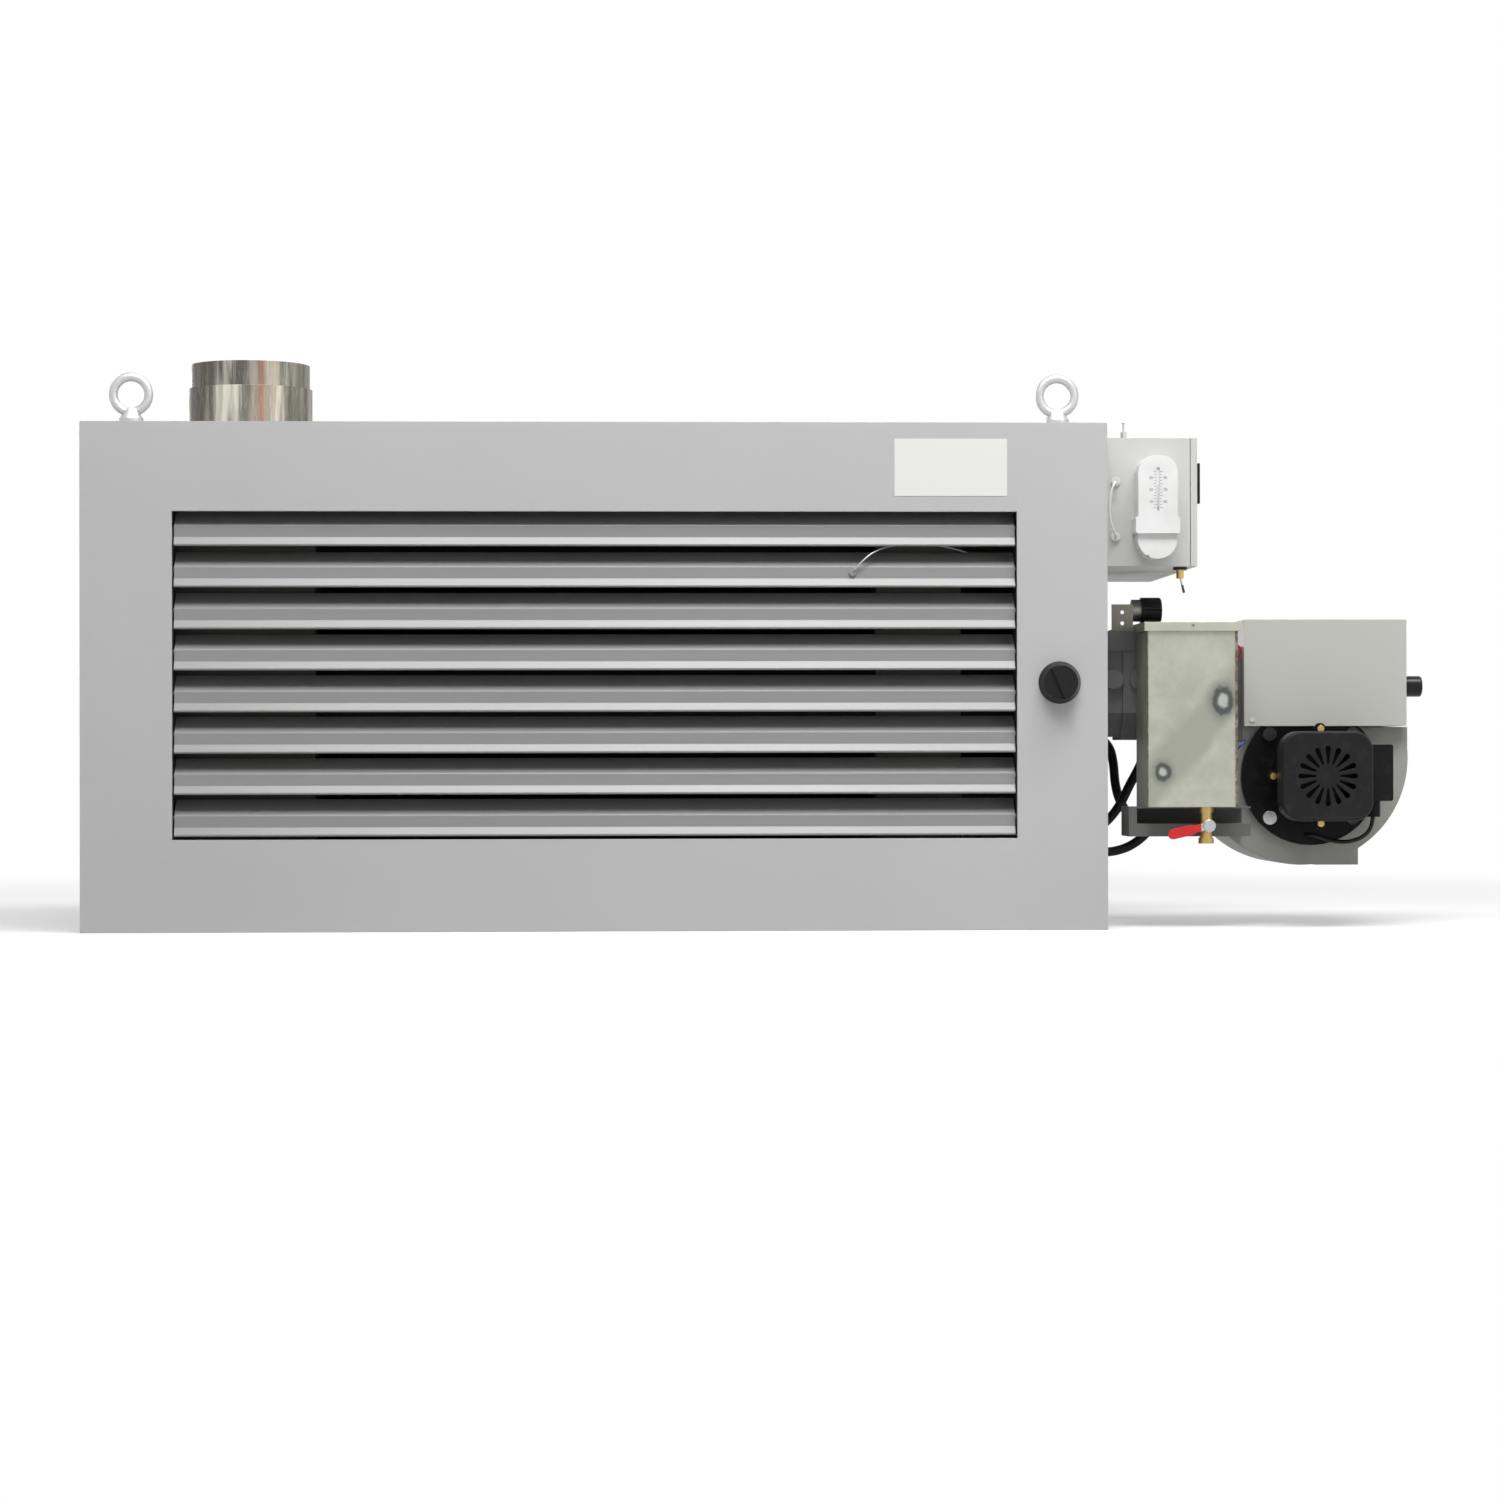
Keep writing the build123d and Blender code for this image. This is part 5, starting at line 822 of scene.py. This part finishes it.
class HEATER_OT_cabinet(bpy.types.Operator):
    """Paints the cabinet's sheets, the clean-out cover and the louvre blades"""

    bl_idname = "heater.cabinet"
    bl_label = "Cabinet"

    def execute(self, context):
        paint = context.scene.heater_paint
        # The casing's paint carries painted shade inside the cabinet
        casing = painted("casing powder coat", paint.casing_tone, paint.peel_size, inside=CABINET_INSIDE)
        for name in ("front_panel", "top_panel", "bottom_panel", "side_panels", "rear_panel", "fan_rings",
                     "cleanout_cover"):
            finish_node(name, casing)
        blade_peel = 1.6
        blade = painted("louvre paint", paint.louvre_tone, paint.peel_size * blade_peel, rough=0.25,
                        radius=0.0009, peel_depth=0.00002, gloss=0.3, dusty=0.012)
        for number in BLADES:
            finish_node(f"louvre_{number}", blade)
        return {"FINISHED"}


class HEATER_OT_lifting_eyes(bpy.types.Operator):
    """Plates the lifting eyes"""

    bl_idname = "heater.lifting_eyes"
    bl_label = "Lifting eyes"

    def execute(self, context):
        metal = context.scene.heater_metal
        zinc = bare_metal("zinc plate", metal.zinc_tone, rough=0.42, grain=0.004, stretch=NO_STRETCH,
                          radius=0.0012, dull=0.9)
        finish_node("eye_bolts", zinc)
        return {"FINISHED"}


class HEATER_OT_flue(bpy.types.Operator):
    """Finishes the bare flue tube and its sleeve"""

    bl_idname = "heater.flue"
    bl_label = "Flue"

    def execute(self, context):
        metal = context.scene.heater_metal
        finish_node("flue_spigot", self.sheet("flue tube sheet", shaded(metal.flue_tone, 0.62), grain=0.0035))
        finish_node("flue_sleeve", self.sheet("flue sleeve sheet", shaded(metal.flue_tone, 1.0), grain=0.006))
        return {"FINISHED"}

    def sheet(self, name, colour, grain):
        """Stainless sheet with upright streaks, oily tints, seams and scratches."""
        streak_start, streak_full, streak_dark, streak_light = 0.40, 0.60, 0.35, 1.30
        scratch_share, scratch_light, seam_share, seam_soft = 0.25, 1.5, 0.8, 0.004
        rough_span, rough_least, grain_strength, grain_depth = 0.30, 0.16, 0.2, 0.0006
        finish, tree, shader = new_finish(name)
        roll = use(tree, "Rolled grain", Stretch=(1.0, 1.0, 0.05), Grain=grain).outputs
        edge = use(tree, "Rounded edge", Radius=0.0005).outputs
        streak = spread(tree, roll["Streak"], streak_start, streak_full)
        body = tint(tree, streak, shaded(colour, streak_dark), shaded(colour, streak_light))
        broad = place_step(tree, "MULTIPLY", place_of(tree), (1.0, 1.0, 0.10))
        for scale, none, full, share, stain in FLUE_STAINS:
            mask = spread(tree, noise(tree, broad, scale, detail=3.0), none, full)
            body = lay(tree, body, mask, share, stain)
        for low, high, stain in FLUE_SEAMS:
            seam = use(tree, "Box mask", Low=low, High=high, Soft=seam_soft).outputs["Mask"]
            body = lay(tree, body, seam, seam_share, stain)
        body = lay(tree, body, roll["Scratch"], scratch_share, shaded(colour, scratch_light))
        sheen = sum_of(tree, "MULTIPLY_ADD", roll["Blotch"], rough_span, rough_least)
        join(tree, shader, Base_Color=body, Roughness=sheen,
             Normal=bump(tree, roll["Streak"], edge["Normal"], grain_strength, grain_depth))
        shader.inputs["Metallic"].default_value = 1.0
        return finish


class HEATER_OT_furnace(bpy.types.Operator):
    """Finishes the drum, headers, tubes and cradle inside the cabinet"""

    bl_idname = "heater.furnace"
    bl_label = "Furnace"

    def execute(self, context):
        metal = context.scene.heater_metal
        dark = bare_metal("heat-blackened steel", metal.drum_tone, rough=0.6, grain=0.006)
        for name in ("combustion_chamber", "exchanger_tubes"):
            finish_node(name, dark)
        finish_node("chamber_supports", bare_metal("cradle plate", shaded(metal.zinc_tone, 0.25), rough=0.5))
        # Painted shade: the header sheet is darkened to a fifth of the tank sheet's tone, for the shade
        # inside the cabinet
        header = bare_metal("header sheet", shaded(metal.sheet_tone, 0.20), rough=0.55, grain=0.005,
                            stretch=(0.06, 1.0, 1.0))
        finish_node("exchanger_headers", header)
        return {"FINISHED"}


class HEATER_OT_fans(bpy.types.Operator):
    """Finishes the rear fans, their motors and guards"""

    bl_idname = "heater.fans"
    bl_label = "Rear fans"

    def execute(self, context):
        metal = context.scene.heater_metal
        mould = context.scene.heater_mould
        enamel = moulded("motor enamel", mould.black_tone, rough=0.40, grain=0.0009, depth=0.00005)
        finish_node("fan_motors", enamel)
        blades = bare_metal("pressed fan blades", shaded(metal.zinc_tone, 0.8), rough=0.38, grain=0.004,
                            stretch=NO_STRETCH)
        for name in ("fan_left", "fan_right"):
            finish_node(name, blades)
        return {"FINISHED"}


class HEATER_OT_front_fittings(bpy.types.Operator):
    """Finishes the blank film, the thermostat knob and the capillary on the front"""

    bl_idname = "heater.front_fittings"
    bl_label = "Front fittings"

    def execute(self, context):
        metal = context.scene.heater_metal
        mould = context.scene.heater_mould
        film = painted("plain film", (0.780, 0.785, 0.755), 0.0006, rough=0.30, radius=0.0001,
                       peel_depth=0.000005, dusty=0.01)
        finish_node("label_plate", film)
        knob = moulded("knob moulding", shaded(mould.black_tone, 0.5), rough=0.14, grain=0.0008,
                       depth=0.000004, radius=0.0008, dusty=0.004, gloss=0.3)
        finish_node("thermostat_knob", knob)
        finish_node("fan_thermostat", moulded("thermostat body", mould.black_tone, rough=0.4))
        tube = bare_metal("capillary tube", shaded(metal.zinc_tone, 0.9), rough=0.35, grain=0.002)
        finish_node("capillary", tube)
        return {"FINISHED"}


class HEATER_OT_control_box(bpy.types.Operator):
    """Finishes the control box, its door, latch, relays, fittings and switches"""

    bl_idname = "heater.control_box"
    bl_label = "Control box"

    def execute(self, context):
        paint = context.scene.heater_paint
        mould = context.scene.heater_mould
        metal = context.scene.heater_metal
        coat = painted("control box powder coat", paint.box_tone, paint.peel_size)
        for name in ("control_box", "control_door"):
            finish_node(name, coat)
        latch = moulded("latch moulding", mould.black_tone, rough=0.34, dusty=0.02, gloss=0.2)
        finish_node("door_latch", latch)
        zones = ((*GROMMETS, shaded(mould.white_tone, 0.9), 0.0),
                 (*UPPER_BUSHING, shaded(metal.zinc_tone, 0.95), 0.6),
                 (*LOWER_BUSHING, metal.brass_tone, 1.0))
        fittings = moulded("fitting moulding", mould.black_tone, rough=0.34, dusty=0.03, zones=zones,
                           gloss=0.3)
        finish_node("panel_fittings", fittings)
        finish_node("contactor", moulded("relay housing", (0.20, 0.205, 0.21), rough=0.4))
        tips = ((*UPPER_TIP, (0.05, 0.05, 0.05), 0.4), (*LOWER_TIP, (0.08, 0.08, 0.08), 0.4))
        lever = bare_metal("toggle plate", metal.zinc_tone, rough=0.28, zones=tips)
        for name in ("upper_toggle", "lower_toggle"):
            finish_node(name, lever)
        return {"FINISHED"}


class HEATER_OT_room_thermostat(bpy.types.Operator):
    """Finishes the room thermostat and its dial"""

    bl_idname = "heater.room_thermostat"
    bl_label = "Room thermostat"

    def execute(self, context):
        mould = context.scene.heater_mould
        white = moulded("thermostat moulding", mould.white_tone, rough=0.30, grain=0.0007, depth=0.00002,
                        radius=0.0008, dusty=0.04)
        for name in ("room_thermostat", "room_dial"):
            finish_node(name, white)
        mark = context.scene.heater_mark
        print_skin = {"grain": 0.0006, "depth": 0.00001, "radius": 0.0001, "dusty": 0.02}
        ink = moulded("scale ink", (0.16, 0.16, 0.16), rough=0.5, **print_skin)
        new_piece("thermometer_scale", self.scale(mark), ink, "cabinet")
        spirit = moulded("spirit column", (0.30, 0.31, 0.33), rough=0.25, **print_skin)
        shape = bmesh.new()
        add_tube(shape, [((SPIRIT_X, SPIRIT_Y, z), swell) for z, swell in SPIRIT_ROUTE], SPIRIT_RADIUS)
        new_piece("spirit_column", shape, spirit, "cabinet", True)
        return {"FINISHED"}

    def scale(self, mark):
        """Marks on both sides of the thermometer's slot, and its figures."""
        shape = bmesh.new()
        height, half = SCALE_HIGH - SCALE_LOW, mark.mark_width / 2
        for k in range(mark.ticks):
            z = SCALE_LOW + height * k / (mark.ticks - 1)
            reach = SHORT_MARK if k % MARKS_PER_LONG else LONG_MARK
            for x in (LEFT_MARKS_END - reach, RIGHT_MARKS_START):
                add_block(shape, (x, SCALE_FACE - mark.film, z - half), (x + reach, SCALE_FACE, z + half))
        rows = (SCALE_LOW + height / 6, (SCALE_LOW + SCALE_HIGH) / 2, SCALE_HIGH - height / 6)
        for x, figures in SCALE_FIGURES:
            for figure, z in zip(figures, rows):
                self.add_figure(shape, figure, (x, SCALE_FACE, z - mark.figure_height / 2), mark)
        return shape

    def add_figure(self, shape, figure, place, mark):
        """Adds a raised number, upright on the front."""
        curve = bpy.data.curves.new("figure", "FONT")
        curve.body = figure
        curve.size = mark.figure_height * FIGURE_SIZE_SHARE
        curve.align_x = "CENTER"
        curve.extrude = mark.film
        holder = bpy.data.objects.new("figure", curve)
        mesh = bpy.data.meshes.new_from_object(holder)
        mesh.transform(Matrix.Translation(place) @ Matrix.Rotation(math.pi / 2.0, 4, "X"))
        shape.from_mesh(mesh)
        bpy.data.objects.remove(holder)
        bpy.data.curves.remove(curve)
        bpy.data.meshes.remove(mesh)


class HEATER_OT_leads(bpy.types.Operator):
    """Runs the leads and hoses and gives them their sheaths"""

    bl_idname = "heater.leads"
    bl_label = "Leads and hoses"

    def execute(self, context):
        mould = context.scene.heater_mould
        thin = {"grain": 0.0008, "depth": 0.00003, "radius": 0.0003}
        sheaths = {
            "black": moulded("cable sheath", mould.black_tone, rough=0.38, grain=0.0008, depth=0.00004,
                             radius=0.0003, dusty=0.03, gloss=0.25),
            "red": moulded("red sheath", mould.red_tone, rough=0.34, dusty=0.08, **thin),
            "blue": moulded("blue sheath", mould.blue_tone, rough=0.34, dusty=0.08, **thin),
            "white": moulded("white sheath", mould.white_tone, rough=0.40, dusty=0.10, **thin),
            "rubber": moulded("hose rubber", mould.black_tone, rough=0.42, grain=0.0008, depth=0.00006,
                              radius=0.0004, dusty=0.04, gloss=0.25),
        }
        for name, sheath, *facts in CORDS:
            add_cord(name, sheaths[sheath], *facts)
        return {"FINISHED"}


class HEATER_OT_burner(bpy.types.Operator):
    """Finishes the neck casting, blast tube, fan housing, motor and covers"""

    bl_idname = "heater.burner"
    bl_label = "Burner"

    def execute(self, context):
        paint = context.scene.heater_paint
        metal = context.scene.heater_metal
        mould = context.scene.heater_mould
        neck = cast("neck casting paint", paint.casting_tone, rough=0.42, pit=0.0018, depth=0.0003)
        finish_node("neck_casting", neck)
        finish_node("burner_head", bare_metal("blast tube steel", shaded(metal.zinc_tone, 0.4), rough=0.4))
        # Painted shade on the fan housing's duct, darkened to half the neck casting's tone
        duct_shade = (*DUCT_SHADE_BOX, shaded(paint.casting_tone, 0.5), 0.0)
        housing = cast("fan housing paint", paint.housing_tone, rough=0.40, pit=0.0022, depth=0.0003,
                       radius=0.002, zones=(duct_shade,))
        finish_node("volute", housing)
        finish_node("air_damper", bare_metal("shutter plate", metal.zinc_tone, rough=0.35))
        finish_node("burner_impeller", bare_metal("wheel plate", shaded(metal.zinc_tone, 0.7), rough=0.4))
        enamel = moulded("motor enamel, smooth", shaded(mould.black_tone, 0.5), rough=0.32, grain=0.0012,
                         depth=0.00006, radius=0.001, dusty=0.012, gloss=0.12)
        for name in ("motor_plate", "motor_body"):
            finish_node(name, enamel)
        skin = {"rough": 0.36, "grain": 0.0008, "depth": 0.00004, "dusty": 0.02}
        cowl = moulded("cowl moulding", mould.cowl_tone, radius=0.0012, gloss=0.15, **skin)
        finish_node("motor_cowl", cowl)
        slotted = new_piece("slotted_cowl", self.cowl(mould), cowl, "cabinet")
        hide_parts("motor_cowl")
        case = moulded("capacitor case", mould.black_tone, radius=0.001, gloss=0.12, **skin)
        finish_node("capacitor_box", case)
        black = shaded(mould.black_tone, 1.5)
        zones = [self.head_zone(x, z, BLACK_SCREW_REACH, black, 0.2) for x, z in BLACK_SCREWS]
        zones += [self.head_zone(x, z, BRASS_BOLT_REACH, metal.brass_tone, 1.0) for x, z in BRASS_BOLTS]
        finish_node("motor_screws", bare_metal("screw plate", metal.zinc_tone, rough=0.26, zones=zones))
        cover = painted("burner cover paint", paint.cover_tone, paint.peel_size, rough=0.36)
        finish_node("burner_cover", cover)
        finish_node("burner_relay", moulded("relay case", mould.black_tone, rough=0.36, gloss=0.3))
        button = moulded("button moulding", mould.black_tone, rough=0.24, dusty=0.02, gloss=0.25)
        finish_node("reset_button", button)
        return {"FINISHED"}

    def head_zone(self, x, z, reach, colour, share):
        """The box round a screw's head, with its colour and share of metal."""
        return (x - reach, SCREWS_FRONT, z - reach), (x + reach, SCREWS_BACK, z + reach), colour, share

    def cowl(self, mould):
        """A hollow cowl with round-cornered sides and a ring of petal-shaped slots."""
        (x0, front, z0), (x1, back, z1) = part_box("motor_cowl")
        centre = Vector((x0 + x1, z0 + z1)) / 2.0
        half = ((x1 - x0) / 2.0, (z1 - z0) / 2.0)
        edge, wall = COWL_EDGE, COWL_WALL
        shape = bmesh.new()

        def outline(inset):
            """The cowl's outline, drawn in by a distance."""
            return rounded_outline(centre, (half[0] - inset, half[1] - inset), COWL_CORNER - inset)

        chamfer_far, chamfer_near = 0.5, 0.14
        profile = ((edge, front), (edge * chamfer_far, front + edge * chamfer_near),
                   (edge * chamfer_near, front + edge * chamfer_far), (0.0, front + edge),
                   (0.0, back), (wall, back), (wall, front + edge), (edge, front + wall))
        add_loops(shape, [[shape.verts.new((p.x, y, p.y)) for p in outline(inset)] for inset, y in profile])
        turns = [2.0 * math.pi * k / mould.petals for k in range(mould.petals)]
        petals = [petal_outline(centre, turn, PETAL_INNER, PETAL_OUTER, PETAL_NARROW, PETAL_WIDE)
                  for turn in turns]
        add_plate(shape, outline(edge), petals, front, front + wall)
        around = [2.0 * math.pi * k / COLLAR_STEPS for k in range(COLLAR_STEPS)]
        collar = [centre + Vector((math.cos(a), math.sin(a))) * (half[1] - COLLAR_INSET) for a in around]
        add_plate(shape, outline(wall), [collar], back - edge, back)
        return shape


class HEATER_OT_tank(bpy.types.Operator):
    """Finishes the oil tank, its lid and shelf, the valve and the regulator"""

    bl_idname = "heater.tank"
    bl_label = "Oil tank"

    def execute(self, context):
        paint = context.scene.heater_paint
        metal = context.scene.heater_metal
        mould = context.scene.heater_mould
        finish_node("oil_tank", self.sheet(metal))
        lid = bare_metal("lid sheet", shaded(metal.sheet_tone, 1.15), rough=0.4, grain=0.004)
        finish_node("tank_lid", lid)
        shelf = painted("shelf paint", shaded(paint.box_tone, 0.22), paint.peel_size, rough=0.5)
        finish_node("shelf", shelf)
        brass = bare_metal("valve brass", metal.brass_tone, rough=0.34, grain=0.002, stretch=NO_STRETCH)
        finish_node("drain_valve", brass)
        shank = (*LEVER_SHANK, shaded(metal.zinc_tone, 0.8), 1.0)
        sleeve = moulded("lever sleeve", mould.red_tone, rough=0.30, grain=0.0006, depth=0.00002,
                         radius=0.0006, dusty=0.05, zones=(shank,))
        finish_node("drain_lever", sleeve)
        bracket = (*REGULATOR_BRACKET, (0.46, 0.44, 0.38), 0.0)
        block = bare_metal("regulator body", shaded(metal.zinc_tone, 0.55), rough=0.42, zones=(bracket,))
        finish_node("regulator", block)
        knob = moulded("regulator knob moulding", mould.black_tone, rough=0.32, dusty=0.03, gloss=0.25)
        finish_node("regulator_knob", knob)
        return {"FINISHED"}

    def sheet(self, metal):
        """Bare sheet with heat rings from the two welds behind it and a cloudy mill surface."""
        cloud_scale, cloud_start, cloud_full, cloud_dark, cloud_light = 22.0, 0.32, 0.68, 0.88, 1.10
        speck_scale, speck_start, speck_full, speck_share, speck_dark = 900.0, 0.35, 0.65, 0.16, 0.72
        scratch_share, scratch_dark = 0.10, 0.7
        drift_scale, drift_size, band_none, band_full = 18.0, 0.03, 0.030, 0.014
        band_share, band_dark = 0.9, 0.74
        rust_scale, rust_start, rust_full, rust_least, rust_most = 120.0, 0.30, 0.60, 0.35, 0.95
        rough_span, rough_least, grain_strength, grain_depth = 0.25, 0.30, 0.25, 0.0008
        finish, tree, shader = new_finish("tank sheet")
        roll = use(tree, "Rolled grain", Stretch=(1.0, 1.0, 0.25), Grain=0.006).outputs
        edge = use(tree, "Rounded edge", Radius=0.0008).outputs
        colour = metal.sheet_tone
        place = place_of(tree)
        cloud = noise(tree, place, cloud_scale, detail=4.0, rough=0.6)
        body = tint(tree, spread(tree, cloud, cloud_start, cloud_full), shaded(colour, cloud_dark),
                    shaded(colour, cloud_light))
        speck = spread(tree, noise(tree, place, speck_scale, rough=0.6), speck_start, speck_full)
        body = lay(tree, body, speck, speck_share, shaded(colour, speck_dark))
        body = lay(tree, body, roll["Scratch"], scratch_share, shaded(colour, scratch_dark))
        line = place_step(tree, "DOT_PRODUCT", place, BAND_LINE, output="Value")
        drift = scaled(tree, noise(tree, place, drift_scale), drift_size)
        off_band = sum_of(tree, "SUBTRACT", sum_of(tree, "ADD", line, drift), BAND_PLACE)
        band = spread(tree, sum_of(tree, "ABSOLUTE", off_band), band_none, band_full)
        body = lay(tree, body, band, band_share, shaded(colour, band_dark))
        for centre, flatten, radius in TANK_WELDS:
            ring = use(tree, "Heat ring", Centre=centre, Flatten=flatten, Radius=radius).outputs
            for label, share, stain in WELD_TINTS:
                body = lay(tree, body, ring[label], share, stain)
        for low, high, soft, stain in TANK_EDGES:
            seam = use(tree, "Box mask", Low=low, High=high, Soft=soft).outputs["Mask"]
            worn = noise(tree, place, rust_scale, detail=4.0, rough=0.7)
            patchy = spread(tree, worn, rust_start, rust_full, rust_least, rust_most)
            body = tint(tree, sum_of(tree, "MULTIPLY", seam, patchy), body, stain)
        sheen = sum_of(tree, "MULTIPLY_ADD", roll["Blotch"], rough_span, rough_least)
        join(tree, shader, Base_Color=body, Roughness=sheen,
             Normal=bump(tree, roll["Blotch"], edge["Normal"], grain_strength, grain_depth))
        shader.inputs["Metallic"].default_value = 0.6
        return finish


class HEATER_PT_panel(bpy.types.Panel):
    """The steps that finish the heater, in order"""

    bl_idname = "HEATER_PT_panel"
    bl_label = "Waste oil heater"
    bl_space_type = "VIEW_3D"
    bl_region_type = "UI"
    bl_category = "Heater"

    def draw(self, context):
        for operator in OPERATORS:
            self.layout.operator(operator.bl_idname)
        for holder in SETTINGS:
            settings = getattr(context.scene, holder)
            for key in settings.__annotations__:
                self.layout.prop(settings, key)


SETTINGS = {
    "heater_stage": StageSettings,
    "heater_paint": PaintSettings,
    "heater_metal": MetalSettings,
    "heater_mould": MouldingSettings,
    "heater_mark": MarkSettings,
}
OPERATORS = (
    HEATER_OT_stage,
    HEATER_OT_effects,
    HEATER_OT_leads,
    HEATER_OT_cabinet,
    HEATER_OT_lifting_eyes,
    HEATER_OT_flue,
    HEATER_OT_furnace,
    HEATER_OT_fans,
    HEATER_OT_front_fittings,
    HEATER_OT_control_box,
    HEATER_OT_room_thermostat,
    HEATER_OT_burner,
    HEATER_OT_tank,
)


def register():
    """Adds the settings, the operators and the panel to Blender."""
    for holder in SETTINGS.values():
        bpy.utils.register_class(holder)
    for operator in OPERATORS:
        bpy.utils.register_class(operator)
    bpy.utils.register_class(HEATER_PT_panel)
    for holder, kind in SETTINGS.items():
        setattr(bpy.types.Scene, holder, PointerProperty(type=kind))


def unregister():
    """Takes them out again."""
    for holder in SETTINGS:
        delattr(bpy.types.Scene, holder)
    bpy.utils.unregister_class(HEATER_PT_panel)
    for operator in reversed(OPERATORS):
        bpy.utils.unregister_class(operator)
    for holder in reversed(SETTINGS.values()):
        bpy.utils.unregister_class(holder)


def main():
    """Runs every step in order."""
    register()
    for operator in OPERATORS:
        group, name = operator.bl_idname.split(".")
        getattr(getattr(bpy.ops, group), name)()


if __name__ == "__main__":
    main()
